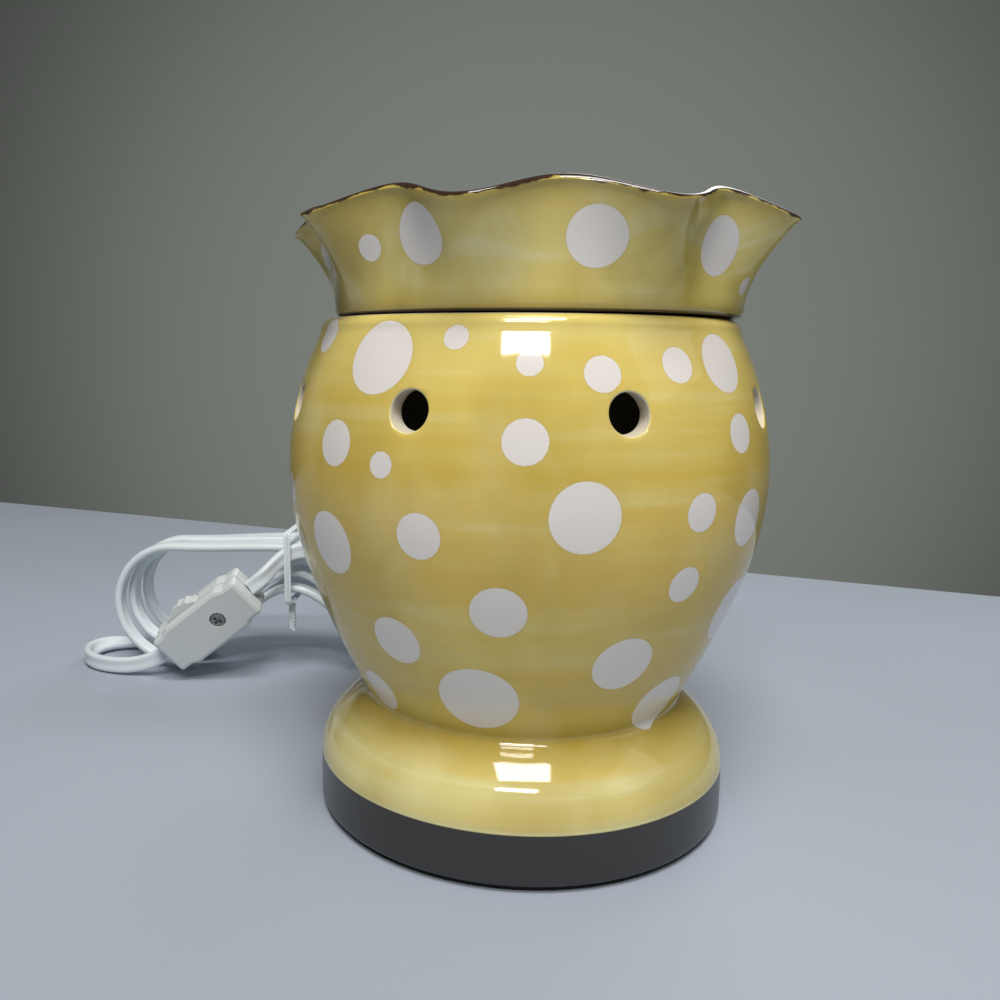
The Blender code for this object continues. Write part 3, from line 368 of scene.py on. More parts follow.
def glaze_shade(tree, colours, look, edge_colour, place, height, glaze):
    """Colour of the plain glaze: pale on shoulder and foot, partly as painted sheen, painted shade in the
    crease, in strokes and patches
    """
    strokes = glaze.outputs["Strokes"]
    from_crease = distance_from(tree, height, CREASE_HEIGHT)
    from_dark = attribute(tree, "dark_edge")
    foot = remap(tree, height, *FOOT_PALE, 0.0, 0.85, True)
    pool = stretched_noise(tree, place, 34.0, 4.0, (1.0, 1.0, 0.5))
    thin = stretched_noise(tree, place, 46.0, 5.0, (1.25, 0.8, 0.9))
    coats = (
        # paler towards the shoulder, low on the flank and on the foot; on shoulder and foot partly painted
        # sheen
        (remap(tree, height, *SHOULDER_PALE, 0.0, 0.75, True), colours.glaze_pale),
        (remap(tree, height, *FLANK_PALE, 0.0, 0.4, True), colours.glaze_pale),
        (foot, colours.glaze_foot),
        (remap(tree, strokes, 0.50, 0.36, 0.0, 0.3, True), colours.glaze),
        (remap(tree, strokes, 0.52, 0.70, 0.0, 0.8 * look.thinned, True), colours.glaze_edge),
        (multiply(tree, foot, remap(tree, strokes, 0.48, 0.66, 0.0, 0.55, True)), colours.glaze_edge),
        # painted shade in the crease over the foot, where the belly shades it
        (remap(tree, from_crease, *CREASE_SHADE, 0.0, 0.65, True), colours.glaze_deep),
        # pooled patches: real mottling, and on the dish also painted shade
        (remap(tree, pool, 0.36, 0.66, 0.0, look.pooled, True), colours.glaze_deep),
        (remap(tree, thin, 0.50, 0.74, 0.0, look.thinned, True), colours.glaze_edge),
        # Towards an edge: on the dish a darker band, painted shade at its seam and also near its rim; on
        # the body a pale line above the band
        (remap(tree, from_dark, look.edge_fade, 0.2, 0.0, look.edge_amount, True), edge_colour),
        (remap(tree, attribute(tree, "bare_clay"), 0.2, 0.5, 0.0, 0.6), colours.glaze_edge))
    shade = glaze.outputs["Colour"]
    for amount, coat in coats:
        shade = mix_colours(tree, amount, shade, coat)
    return shade


def glaze_material(name, colours, look, edge_colour, dark_colour):
    """Glaze with dots, a dark zone and bare clay, laid out by the piece's own attributes in millimetres"""
    material, tree, shader = new_material(name, colours.glaze, 0.1)
    shader.inputs["IOR"].default_value = GLAZE_IOR
    glaze = use_group(tree, "brushed glaze", brushed_glaze_group)
    glaze.inputs["Full"].default_value = colours.glaze
    glaze.inputs["Thin"].default_value = colours.glaze_pale
    glaze.inputs["Streaks"].default_value = look.streaks
    dot = attribute(tree, "dot_edge")
    bare = attribute(tree, "bare_clay")
    place = object_place(tree)
    split = add_node(tree, "ShaderNodeSeparateXYZ")
    tree.links.new(place, split.inputs["Vector"])
    height = split.outputs["Z"]
    shade = glaze_shade(tree, colours, look, edge_colour, place, height, glaze)
    shade = mix_colours(tree, remap(tree, dot, 0.35, 0.1, 0.0, 0.3, True), shade, colours.glaze_deep)
    shade = mix_colours(tree, remap(tree, dot, 0.12, -0.12), shade, colours.dots)
    waver = remap(tree, stretched_noise(tree, place, 260.0, 2.0, EVEN), 0.3, 0.7, -RIM_RAGGED, RIM_RAGGED)
    ragged = multiply_add(tree, waver, remap(tree, height, *RIM_RAGGED_FROM), attribute(tree, "dark_edge"))
    dark_mask = remap(tree, ragged, 0.15, -0.15)
    shade = mix_colours(tree, dark_mask, shade, dark_colour)
    shade = mix_colours(tree, remap(tree, bare, 0.5, 0.9), shade, colours.bisque)
    tree.links.new(shade, shader.inputs["Base Color"])
    dull = multiply_add(tree, dark_mask, look.dark_dull, glaze.outputs["Dull"])
    tree.links.new(multiply_add(tree, bare, CLAY_DULL, dull, True), shader.inputs["Roughness"])
    bump(tree, shader, glaze.outputs["Ripple"], GLAZE_RIPPLE, 0.12)
    return material


# Modelling helpers


def start_outline(name, first):
    """Start a piece as a single point in edit mode"""
    bpy.ops.object.select_all(action="DESELECT")
    bpy.ops.mesh.primitive_plane_add(size=0.01, location=(0.0, 0.0, 0.0))
    piece = bpy.context.object
    piece.name = name
    piece.data.name = name
    bpy.ops.object.mode_set(mode="EDIT")
    bpy.ops.mesh.select_all(action="SELECT")
    bpy.ops.mesh.merge(type="CENTER")
    bpy.ops.transform.translate(value=first)
    return piece


def draw_outline(points):
    """Extrude the last point along an outline"""
    for before, after in zip(points, points[1:]):
        step = Vector(after) - Vector(before)
        bpy.ops.mesh.extrude_region_move(TRANSFORM_OT_translate={"value": step})


def turned_piece(name, profile, steps):
    """Draw a (radius, height) outline and spin it once round the axis"""
    points = [(radius, 0.0, height) for radius, height in profile]
    piece = start_outline(name, points[0])
    draw_outline(points)
    bpy.ops.mesh.select_all(action="SELECT")
    bpy.ops.mesh.spin(steps=steps, angle=tau, center=(0.0, 0.0, 0.0), axis=(0.0, 0.0, 1.0))
    bpy.ops.mesh.select_all(action="SELECT")
    bpy.ops.mesh.remove_doubles(threshold=POINT_MERGE)
    bpy.ops.mesh.normals_make_consistent(inside=False)
    bpy.ops.object.mode_set(mode="OBJECT")
    return piece


def only(piece):
    bpy.ops.object.select_all(action="DESELECT")
    piece.select_set(True)
    bpy.context.view_layer.objects.active = piece


def apply_modifier(piece, modifier):
    only(piece)
    bpy.ops.object.modifier_apply(modifier=modifier.name)


def join_pieces(pieces, name):
    only(pieces[0])
    for piece in pieces:
        piece.select_set(True)
    bpy.ops.object.join()
    pieces[0].name = name
    return pieces[0]


def subtract(piece, cutter):
    step = piece.modifiers.new("cut", "BOOLEAN")
    step.operation = "DIFFERENCE"
    step.object = cutter
    apply_modifier(piece, step)
    bpy.data.objects.remove(cutter, do_unlink=True)


def merge_points(piece):
    """Merge the points that cuts left on top of each other, so that no face is without area"""
    only(piece)
    bpy.ops.object.mode_set(mode="EDIT")
    bpy.ops.mesh.select_all(action="SELECT")
    bpy.ops.mesh.remove_doubles(threshold=POINT_MERGE)
    bpy.ops.object.mode_set(mode="OBJECT")


def smooth(piece, angle):
    only(piece)
    bpy.ops.object.shade_smooth_by_angle(angle=radians(angle))


def settle(piece):
    """Put a piece's place into its mesh"""
    only(piece)
    bpy.ops.object.transform_apply(location=True, rotation=True, scale=True)


def points_of(piece):
    count = len(piece.data.vertices)
    flat = np.zeros(count * 3)
    piece.data.vertices.foreach_get("co", flat)
    return flat.reshape(count, 3)


def move_points(piece, places):
    piece.data.vertices.foreach_set("co", np.asarray(places, dtype=float).ravel())
    piece.data.update()


def store(piece, name, values):
    layer = piece.data.attributes.new(name, "FLOAT", "POINT")
    layer.data.foreach_set("value", np.asarray(values, dtype=np.float32))


def dress(piece, material):
    piece.data.materials.clear()
    piece.data.materials.append(material)


def dress_nodes(material, *names):
    for name in names:
        dress(NODES[name], material)


def finish_piece(piece, smooth_angle, material, body, slot, *nodes):
    """Smooth a piece, dress it and say what it rides on and stands for; the slot argument is not used"""
    smooth(piece, smooth_angle)
    dress(piece, material)
    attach(piece, body)
    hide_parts(*nodes)


def arc(centre, radius, start, end, count):
    points = []
    for k in range(count + 1):
        angle = radians(start + (end - start) * k / count)
        points.append((centre[0] + radius * cos(angle), centre[1] + radius * sin(angle)))
    return points


def smooth_curve(route, count, start_way=None, end_way=None):
    """Even points on a cubic curve through a route, with set directions at its ends where given"""
    route = np.array(route, dtype=float)
    knots = np.concatenate([[0.0], np.cumsum(np.linalg.norm(np.diff(route, axis=0), axis=1))])
    n = len(route)
    step = np.diff(knots)
    slope = np.diff(route, axis=0) / step[:, None]
    system = np.eye(n)
    bends = np.zeros_like(route)
    for k in range(1, n - 1):
        system[k, k - 1:k + 2] = (step[k - 1], 2.0 * (step[k - 1] + step[k]), step[k])
        bends[k] = 6.0 * (slope[k] - slope[k - 1])
    if start_way is not None:
        system[0, 0:2] = (2.0 * step[0], step[0])
        bends[0] = 6.0 * (slope[0] - np.array(start_way))
    if end_way is not None:
        system[n - 1, n - 2:n] = (step[-1], 2.0 * step[-1])
        bends[n - 1] = 6.0 * (np.array(end_way) - slope[-1])
    second = np.linalg.solve(system, bends)
    points = []
    for place in np.linspace(0.0, knots[-1], count):
        k = min(int(np.searchsorted(knots, place, side="right")) - 1, n - 2)
        a = (knots[k + 1] - place) / step[k]
        b = 1.0 - a
        bend = ((a ** 3 - a) * second[k] + (b ** 3 - b) * second[k + 1]) * step[k] ** 2 / 6.0
        points.append(a * route[k] + b * route[k + 1] + bend)
    return np.array(points)


# Dots: place round the axis from the front in degrees, height and width in millimetres

BODY_DOTS = [
    (-59.5, 125.1, 9.0), (-34.1, 120.1, 17.0), (-15.6, 124.4, 5.7), (0.7, 119.2, 5.8), (15.7, 117.1, 8.1),
    (34.0, 119.0, 8.2), (49.1, 119.4, 13.8), (-43.2, 101.0, 10.6), (-29.5, 97.3, 6.0), (0.1, 103.4, 9.8),
    (51.1, 104.0, 9.0), (-68.0, 87.4, 8.5), (-46.3, 77.5, 15.3), (-20.9, 82.6, 10.5), (11.8, 87.9, 15.4),
    (37.8, 87.7, 8.7), (55.7, 84.4, 13.5), (36.4, 71.4, 8.7), (-4.8, 66.4, 12.6), (-31.5, 55.8, 13.0),
    (25.8, 52.5, 15.0), (-11.2, 42.9, 19.0), (62.4, 60.3, 17.0), (46.5, 38.0, 16.0), (-48.9, 37.7, 12.0)]
DISH_DOTS = [
    (-42.7, 143.7, 6.0), (-26.8, 145.5, 13.1), (12.5, 144.3, 12.7), (47.0, 143.8, 13.0), (62.5, 137.2, 4.5),
    (-79.8, 144.6, 7.5)]
VENT_TURNS = [20.9 + 45.0 * k for k in range(8)]
DOT_WIDTHS = (15.0, 9.0, 13.0, 6.0, 10.5, 17.0, 8.5, 12.0)


def round_place(turn, radius, height):
    """A place on a turned surface, by degrees from the front towards the right"""
    return np.array((radius * sin(radians(turn)), -radius * cos(radians(turn)), height))


def fill_unseen(dots, turns, heights, radius_at, keep_clear, room, seed, tries):
    """Carry the dots on round the unseen side at like spacing, clear of each other and of any vents"""
    draw = Random(seed)
    filled = list(dots)
    for k in range(tries):
        turn = draw.uniform(*turns)
        height = draw.uniform(*heights)
        width = DOT_WIDTHS[k % len(DOT_WIDTHS)]
        place = round_place(turn, radius_at(height), height)
        clear = True
        for other_turn, other_height, other_width in filled + keep_clear:
            other = round_place(other_turn, radius_at(other_height), other_height)
            if np.linalg.norm(place - other) < (width + other_width) / 2 + room:
                clear = False
        if clear:
            filled.append((turn, height, width))
    return filled


def dot_distance(places, dots, surface):
    """Least distance of each place to the edge of a dot, in millimetres, negative inside one"""
    least = np.full(len(places), 50.0)
    for turn, height, width in dots:
        centre = surface(turn, height)
        least = np.minimum(least, np.linalg.norm(places - centre, axis=1) - width / 2)
    return least


# Body

BAND_EDGE = 0.8 * MM
BAND_ROW = 2.6 * MM
FLOOR_BORE = 5.1 * MM
MOUTH_EDGE = 0.6 * MM
GLAZE_DEPTH = 2.0 * MM
TUNNEL_DEPTH = 24.0 * MM
FLARE_OUTSIDE = 3.0 * MM
FLARE_INSIDE = 0.4 * MM
VENT_SIDES = 64
LEAN_REACH = 2.0 * MM


def body_outer(sizes):
    side = smooth_curve([(sizes.mouth_radius, sizes.mouth_height - sizes.mouth_round),
                         (sizes.cheek_radius, sizes.cheek_height),
                         (sizes.belly_radius, sizes.belly_height),
                         (sizes.flank_radius, sizes.flank_height),
                         (sizes.neck_radius, sizes.neck_height)], 74)
    foot = smooth_curve([(sizes.neck_radius, sizes.neck_height),
                         (sizes.slope_radius, sizes.slope_height),
                         (sizes.band_radius, sizes.band_top)], 26, None, (0.0, -1.0))
    before, corner, after = (np.array(point) for point in (side[-2], side[-1], foot[2]))
    crease = [tuple((1.0 - k) ** 2 * before + 2.0 * k * (1.0 - k) * corner + k * k * after)
              for k in np.linspace(0.0, 1.0, 7)]
    side = list(side[:-2]) + crease + list(foot[3:])
    lip = arc((sizes.mouth_radius - sizes.mouth_round, sizes.mouth_height - sizes.mouth_round),
              sizes.mouth_round, 90.0, 0.0, 8)
    return lip[:-1] + [tuple(point) for point in side]


def body_radius(sizes):
    outline = np.array(body_outer(sizes))[8:]
    order = np.argsort(outline[:, 1])
    return lambda height: np.interp(height, outline[order, 1], outline[order, 0])


def body_profile(sizes):
    outer = body_outer(sizes)
    straight = [(sizes.band_radius, sizes.band_top - k * BAND_ROW) for k in range(1, 5)]
    edge = arc((sizes.band_radius - BAND_EDGE, sizes.foot_bottom + BAND_EDGE), BAND_EDGE, 0.0, -90.0, 4)
    recess = [(sizes.recess_radius, sizes.foot_bottom),
              (sizes.recess_radius - sizes.wall, sizes.recess_top)]
    floor_hole = [(FLOOR_BORE, sizes.recess_top), (FLOOR_BORE, sizes.floor_height)]
    mouth_inner = sizes.mouth_radius - sizes.mouth_round - sizes.wall
    inner = smooth_curve([(sizes.neck_radius - 2.0 * sizes.wall, sizes.floor_height),
                          (sizes.neck_radius - sizes.wall, sizes.neck_height + sizes.wall),
                          (sizes.flank_radius - sizes.wall, sizes.flank_height),
                          (sizes.belly_radius - sizes.wall, sizes.belly_height),
                          (sizes.cheek_radius - sizes.wall, sizes.cheek_height),
                          (mouth_inner, sizes.mouth_height - sizes.mouth_round)], 36)
    top = [(mouth_inner, sizes.mouth_height - MOUTH_EDGE),
           (mouth_inner + MOUTH_EDGE, sizes.mouth_height), outer[0]]
    return outer + straight + edge + recess + floor_hole + [tuple(point) for point in inner] + top


def vent_cutters(sizes, kind):
    """Straight tunnels through the wall, or short flares that round the edge of each hole"""
    radius_at = body_radius(sizes)
    surface = float(radius_at(sizes.vent_height))
    above = radius_at(sizes.vent_height + LEAN_REACH)
    below = radius_at(sizes.vent_height - LEAN_REACH)
    lean = (above - below) / (2.0 * LEAN_REACH)
    cutters = []
    for turn in VENT_TURNS:
        heading = radians(turn)
        if kind == "tunnels":
            bpy.ops.object.select_all(action="DESELECT")
            bpy.ops.mesh.primitive_cylinder_add(
                vertices=VENT_SIDES, radius=sizes.vent_radius, depth=TUNNEL_DEPTH)
            cutter = bpy.context.object
            tilt = pi / 2
        else:
            lip = sizes.vent_lip
            profile = [(0.0, FLARE_OUTSIDE), (sizes.vent_radius + lip, FLARE_OUTSIDE)]
            profile += arc((sizes.vent_radius + lip, -lip), lip, 90.0, 180.0, 8)
            profile += [(sizes.vent_radius * 0.99, -lip - FLARE_INSIDE), (0.0, -lip - FLARE_INSIDE)]
            cutter = turned_piece("flare", profile, VENT_SIDES)
            tilt = pi / 2 + float(np.arctan(lean))
        turn_matrix = Matrix.Rotation(heading, 4, "Z") @ Matrix.Rotation(tilt, 4, "X")
        centre = Vector((surface * sin(heading), -surface * cos(heading), sizes.vent_height))
        cutter.matrix_world = Matrix.Translation(centre) @ turn_matrix
        settle(cutter)
        cutters.append(cutter)
    return join_pieces(cutters, kind)


def vent_clay(sizes, places):
    """How bare the clay is at each place: one inside a vent, none outside its rounded edge"""
    clay = np.zeros(len(places))
    apart = places - np.array((0.0, 0.0, sizes.vent_height))
    edge = sizes.vent_radius + 0.45 * sizes.vent_lip
    for turn in VENT_TURNS:
        way = round_place(turn, 1.0, 0.0)
        along = apart @ way
        aside = np.linalg.norm(apart - np.outer(along, way), axis=1)
        near = np.clip((edge - aside) / (0.4 * sizes.vent_lip), 0.0, 1.0)
        clay = np.maximum(clay, np.where(along > 0.0, near, 0.0))
    return clay


class WARMER_OT_body(bpy.types.Operator):
    """Turn the body, pierce its vents and lay out its glaze"""
    bl_idname = "warmer.body"
    bl_label = "Body"

    def execute(self, context):
        sizes = context.scene.warmer_sizes
        body = turned_piece("glazed_body", body_profile(sizes), 224)
        subtract(body, vent_cutters(sizes, "flares"))
        subtract(body, vent_cutters(sizes, "tunnels"))
        merge_points(body)
        radius_at = body_radius(sizes)
        places = points_of(body)
        reach = np.hypot(places[:, 0], places[:, 1])

        def radius_mm(height):
            return float(radius_at(height * MM)) / MM

        def on_surface(turn, height):
            return round_place(turn, radius_mm(height), height)

        vents = [(turn, sizes.vent_height / MM, 2.4 * sizes.vent_radius / MM) for turn in VENT_TURNS]
        dots = fill_unseen(BODY_DOTS, turns=(76.0, 284.0), heights=(39.0, 124.0), radius_at=radius_mm,
                           keep_clear=vents, room=5.0, seed=5, tries=420)
        store(body, "dot_edge", dot_distance(places / MM, dots, on_surface))
        store(body, "dark_edge", (places[:, 2] - sizes.band_top) / MM)
        inside = reach < radius_at(places[:, 2]) - GLAZE_DEPTH
        store(body, "bare_clay", np.maximum(inside.astype(float), vent_clay(sizes, places)))
        colours = context.scene.warmer_colours
        material = glaze_material("body_glaze", colours, BODY_LOOK, colours.glaze_edge, colours.band)
        finish_piece(body, 35.0, material, "warmer", "warmer_body", "warmer_body")
        return {"FINISHED"}


# Dish


DISH_EDGE = 1.8 * MM
DISH_RING = 4.0 * MM
DISH_RING_ROOM = 3.4 * MM
BOWL_ROUND = 7.0 * MM
BOWL_ROWS = 21
SIDE_ROWS = 30
FLUTE_FROM = 42.0
FLUTE_FULL = 6.0
RIM_LINE = 0.9 * MM
SEAM_LINE = 0.7 * MM
UNDER_MARGIN = 2.4 * MM
DISH_LOBES = 9
DISH_TURN = 5.7
DISH_CREST_FLATTEN = 0.07
DISH_FLARE_POWER = 1.7
DISH_WAVE_POWER = 1.5


def dish_wave(turn):
    phase = DISH_LOBES * (turn - radians(DISH_TURN))
    return np.cos(phase) - DISH_CREST_FLATTEN * np.cos(2.0 * phase)


def dish_share(sizes, height):
    return np.clip((height - sizes.dish_bottom) / sizes.dish_height, 0.0, 1.0)


def dish_radius(sizes, height):
    """Outer radius of the plain dish at a height"""
    spread = sizes.dish_rim_radius - sizes.dish_base_radius
    return sizes.dish_base_radius + spread * dish_share(sizes, height) ** DISH_FLARE_POWER


def dish_profile(sizes):
    """From the top of the rim down the outside, under the ring, across the bowl and up the inside"""
    top = sizes.dish_bottom + sizes.dish_height
    lip = sizes.dish_rim_wall / 2
    rim_radius = dish_radius(sizes, top)
    outer = arc((rim_radius - lip, top - lip), lip, 90.0, 0.0, 6)
    for k in range(1, SIDE_ROWS + 1):
        height = top - lip - (sizes.dish_height - lip - DISH_EDGE) * k / SIDE_ROWS
        outer.append((float(dish_radius(sizes, height)), height))
    bottom = sizes.dish_bottom
    foot = arc((sizes.dish_base_radius - DISH_EDGE, bottom + DISH_EDGE), DISH_EDGE, 0.0, -90.0, 6)[1:]
    ring = sizes.mouth_radius - sizes.mouth_round - sizes.wall - DISH_RING_ROOM
    under = [(ring, bottom), (ring, bottom - DISH_RING), (ring - DISH_RING, bottom - DISH_RING),
             (ring - DISH_RING, bottom), (0.0, bottom)]
    bowl_bottom = bottom + sizes.dish_floor
    bowl_radius = sizes.dish_base_radius - sizes.dish_wall
    bowl = [(0.0, bowl_bottom), (bowl_radius * 0.5, bowl_bottom)]
    bowl += arc((bowl_radius - BOWL_ROUND, bowl_bottom + BOWL_ROUND), BOWL_ROUND, -90.0, 0.0, 8)
    low = bowl_bottom + BOWL_ROUND
    for k in range(1, BOWL_ROWS + 1):
        height = low + (top - lip - low) * k / BOWL_ROWS
        wall = sizes.dish_wall + (sizes.dish_rim_wall - sizes.dish_wall) * k / BOWL_ROWS
        bowl.append((float(dish_radius(sizes, height)) - wall, height))
    rim = arc((rim_radius - lip, top - lip), lip, 180.0, 90.0, 6)[1:]
    return outer + foot + under + bowl + rim


def flute(sizes, places):
    """Lift the rim at the crests, flare it out and down between them, and move the dish off the axis"""
    reach = np.hypot(places[:, 0], places[:, 1])
    turn = np.arctan2(places[:, 0], -places[:, 1])
    inner = np.clip((reach / MM - FLUTE_FROM) / FLUTE_FULL, 0.0, 1.0)
    wave = dish_wave(turn) * dish_share(sizes, places[:, 2]) ** DISH_WAVE_POWER * inner
    swing = reach - sizes.dish_wave * wave
    height = places[:, 2] + sizes.dish_wave_rise * wave
    return np.stack([sizes.dish_shift + swing * np.sin(turn), -swing * np.cos(turn), height], axis=1)


class WARMER_OT_dish(bpy.types.Operator):
    """Turn the dish, flute it and lay out its glaze"""
    bl_idname = "warmer.dish"
    bl_label = "Dish"

    def execute(self, context):
        sizes = context.scene.warmer_sizes
        dish = turned_piece("fluted_dish", dish_profile(sizes), 320)
        plain = points_of(dish)
        reach = np.hypot(plain[:, 0], plain[:, 1])
        rise = plain[:, 2]
        outer = dish_radius(sizes, rise)
        top = sizes.dish_bottom + sizes.dish_height
        halfway = sizes.dish_bottom + 0.5 * sizes.dish_floor
        bowl = (reach < outer - sizes.dish_rim_wall * 0.55) & (rise > halfway)
        rim = (top - RIM_LINE - rise) / MM
        seam = (rise - sizes.dish_bottom - SEAM_LINE) / MM
        under = (reach < sizes.dish_base_radius - UNDER_MARGIN) & (rise < halfway)
        places = flute(sizes, plain)
        move_points(dish, places)

        def radius_mm(height):
            return float(dish_radius(sizes, height * MM)) / MM

        def on_surface(turn, height):
            spot = round_place(turn, float(dish_radius(sizes, height * MM)), height * MM)
            return flute(sizes, spot[None, :])[0] / MM

        dots = fill_unseen(DISH_DOTS, turns=(84.0, 272.0), heights=(138.0, 148.0), radius_at=radius_mm,
                           keep_clear=[], room=9.0, seed=3, tries=120)
        store(dish, "dot_edge", dot_distance(places / MM, dots, on_surface))
        store(dish, "dark_edge", np.where(bowl, -3.0, np.minimum(rim, seam)))
        store(dish, "bare_clay", under.astype(float))
        colours = context.scene.warmer_colours
        # Deep glaze as the edge colour: painted shade along the dish's seam, which also darkens it near the
        # rim
        material = glaze_material("dish_glaze", colours, DISH_LOOK, colours.glaze_deep, colours.rim)
        finish_piece(dish, 50.0, material, "dish", "wax_dish", "wax_dish")
        return {"FINISHED"}


# Base pad, socket and bulb

SHOULDER_ANGLE = 50.0
NECK_BELOW_GLOBE = 1.095


def clear_glass(name):
    material, tree, shader = new_material(name, (0.96, 0.98, 0.98, 1.0), 0.02)
    shader.inputs["Transmission Weight"].default_value = 1.0
    shader.inputs["IOR"].default_value = 1.48
    swirl = stretched_noise(tree, object_place(tree), 60.0, 2.0, (1.0, 1.0, 0.4))
    tree.links.new(remap(tree, swirl, 0.3, 0.7, 0.01, 0.035), shader.inputs["Roughness"])
    return material


class WARMER_OT_inside(bpy.types.Operator):
    """Dress the base pad, the lamp socket, its fixing and the bulb"""
    bl_idname = "warmer.inside"
    bl_label = "Base pad, socket and bulb"

    def execute(self, context):
        felt = moulded_material("felt", (0.045, 0.045, 0.047, 1.0), 0.85, 1.0, FELT_GRAIN)
        phenolic = moulded_material("black_socket", (0.022, 0.020, 0.019, 1.0), 0.3, 0.45)
        brass = metal_material("brass", (0.74, 0.53, 0.22, 1.0), 0.22, 0.38)
        zinc = metal_material("zinc_plate", (0.58, 0.58, 0.57, 1.0), 0.28, 0.42)
        wire = metal_material("filament_wire", (0.30, 0.29, 0.28, 1.0), 0.35, 0.5)
        glass = clear_glass("stem_glass")
        dress_nodes(felt, "base_pad")
        dress_nodes(phenolic, "socket_body", "bulb_insulator")
        dress_nodes(brass, "socket_screw_shell", "socket_contact", "bulb_screw_cap", "bulb_tip_contact")
        dress_nodes(zinc, "socket_nipple", "nipple_washer", "nipple_nut")
        dress_nodes(wire, "bulb_filament")
        dress_nodes(glass, "bulb_stem")
        return {"FINISHED"}


def bulb_side(globe, neck, centre, neck_top, bottom):
    """Side of the bulb from its crown down to the end of its neck, as (radius, height)"""
    crown = arc((0.0, centre), globe, 90.0, -SHOULDER_ANGLE, 36)
    crown[0] = (0.0, centre + globe)
    leave = (-sin(radians(SHOULDER_ANGLE)), -cos(radians(SHOULDER_ANGLE)))
    shoulder = smooth_curve([crown[-1], (neck, neck_top)], 12, leave, (0.0, -1.0))
    return crown + [tuple(point) for point in shoulder[1:]] + [(neck, bottom)]


class WARMER_OT_bulb(bpy.types.Operator):
    """Turn the bulb's clear glass, with its wall"""
    bl_idname = "warmer.bulb"
    bl_label = "Bulb glass"

    def execute(self, context):
        sizes = context.scene.warmer_sizes
        low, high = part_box("bulb_glass")
        globe, wall = sizes.globe_radius, sizes.glass_wall
        centre = high[2] - globe
        neck_top = centre - NECK_BELOW_GLOBE * globe
        outer = bulb_side(globe, sizes.bulb_neck_radius, centre, neck_top, low[2])
        inner = bulb_side(globe - wall, sizes.bulb_neck_radius - wall, centre, neck_top, low[2])
        glass = turned_piece("clear_bulb", outer + inner[::-1], 96)
        finish_piece(glass, 50.0, clear_glass("bulb_clear_glass"), "bulb", "bulb_glass", "bulb_glass")
        return {"FINISHED"}


# Flat twin lead


GAP = 0.3 * MM
CORD_HALF = 1.5 * MM
EXIT_HEIGHT = 8.0 * MM
EXIT_WAY = Vector((-sin(radians(30.0)), cos(radians(30.0)), 0.0))
RELIEF_TIP = 70.0 * MM
HANK_X = -86.0 * MM
HANK_FRONT = 85.4 * MM
HANK_LAYERS = 4
HANK_LAYER_STEP = 6.8 * MM
HANK_RUN = 46.0 * MM
HANK_WAIST = 3.7 * MM
HANK_RISE = 14.5 * MM
HANK_LIFT = 16.0 * MM
HANK_STEP = 5.4 * MM
HANK_RUN_SHARE = 0.25
HANK_CLIMB_SHARE = 0.22
HANK_LAST_TURN = HANK_LAYERS + HANK_RUN_SHARE
HANK_OUTER = HANK_WAIST + HANK_RISE + HANK_STEP * (1.0 + HANK_RUN_SHARE / 2)
HANK_Z = GAP + CORD_HALF + HANK_OUTER
HANK_BACK = HANK_FRONT + HANK_LAYER_STEP * (HANK_LAYERS - 1)
LEAD_FRONT = HANK_FRONT - 5.1 * MM
SWITCH_TOP = Vector((-98.5, 70.5, 36.0)) * MM
SWITCH_SLOPE = radians(38.0)
SWITCH_HEADING = radians(4.0)
SWITCH_ROLL = radians(20.0)
SWITCH_LENGTH = 40.0 * MM
SCREW_PLACE = 14.5 * MM
SCREW_BACK = 6.2 * MM
SCREW_SHAFT = 11.2 * MM
SCREW_TOP = 12.7 * MM
SCREW_SLOT_TURNS = (20.0, 110.0)
TIE_THICKNESS = 0.9 * MM
TIE_ROOM = 0.7 * MM
TIE_CORNER = 1.5 * MM
TIE_ABOVE = 2.5 * MM
TIE_BEFORE = 2.4 * MM
TIE_BEHIND = 3.0 * MM
TIE_HALF = 1.2 * MM
TIE_EDGE = 0.14 * MM
TIE_RIB = 0.42 * MM
TIE_TAIL = 11.0 * MM
TIE_TURNS = 1.75
RELIEF_INSIDE = 41.65 * MM
NIPPLE_TAIL = 7.0 * MM
WIRE_TWIST = 14.0 * MM
RELIEF_RIBS = 4
RIB_DEPTH = 0.8 * MM
RIB_TOP = 0.75 * MM
RIB_BOTTOM = 0.45 * MM
RELIEF_EDGE = 0.5 * MM
RELIEF_RADIUS = 5.0 * MM
RELIEF_TIP_RADIUS = 4.0 * MM
RELIEF_ROOM = 1.2 * MM
FLANGE = 1.6 * MM
FLANGE_RADIUS = 6.2 * MM
SWITCH_ALONG = Vector((-cos(SWITCH_SLOPE) * cos(SWITCH_HEADING), cos(SWITCH_SLOPE) * sin(SWITCH_HEADING),
                       -sin(SWITCH_SLOPE)))
SWITCH_LEVEL = Vector((-sin(SWITCH_HEADING), -cos(SWITCH_HEADING), 0.0))
SWITCH_FACE = Matrix.Rotation(-SWITCH_ROLL, 3, SWITCH_ALONG) @ SWITCH_LEVEL
SWITCH_ACROSS = SWITCH_ALONG.cross(SWITCH_FACE)
PLUG_PLACE = Vector((8.0, 93.4, 6.8)) * MM
CORD_PITCH = 1.6 * MM
HANK_POINTS = 900


def polyline_length(line):
    return float(np.linalg.norm(np.diff(line, axis=0), axis=1).sum())


def unit_rows(ways):
    return ways / np.linalg.norm(ways, axis=1)[:, None]


def stretch_between(start, start_way, route, end, end_way, width):
    """A short straight stretch at each end and a smooth curve between, as even points"""
    first = start + start_way * width / 2
    last = end - end_way * width / 2
    middle = [tuple(first)] + route + [tuple(last)]
    rough = smooth_curve(middle, 200, tuple(start_way), tuple(end_way))
    count = int(polyline_length(rough) / CORD_PITCH)
    line = smooth_curve(middle, count, tuple(start_way), tuple(end_way))
    return np.vstack([np.array([start]), line, np.array([end])])


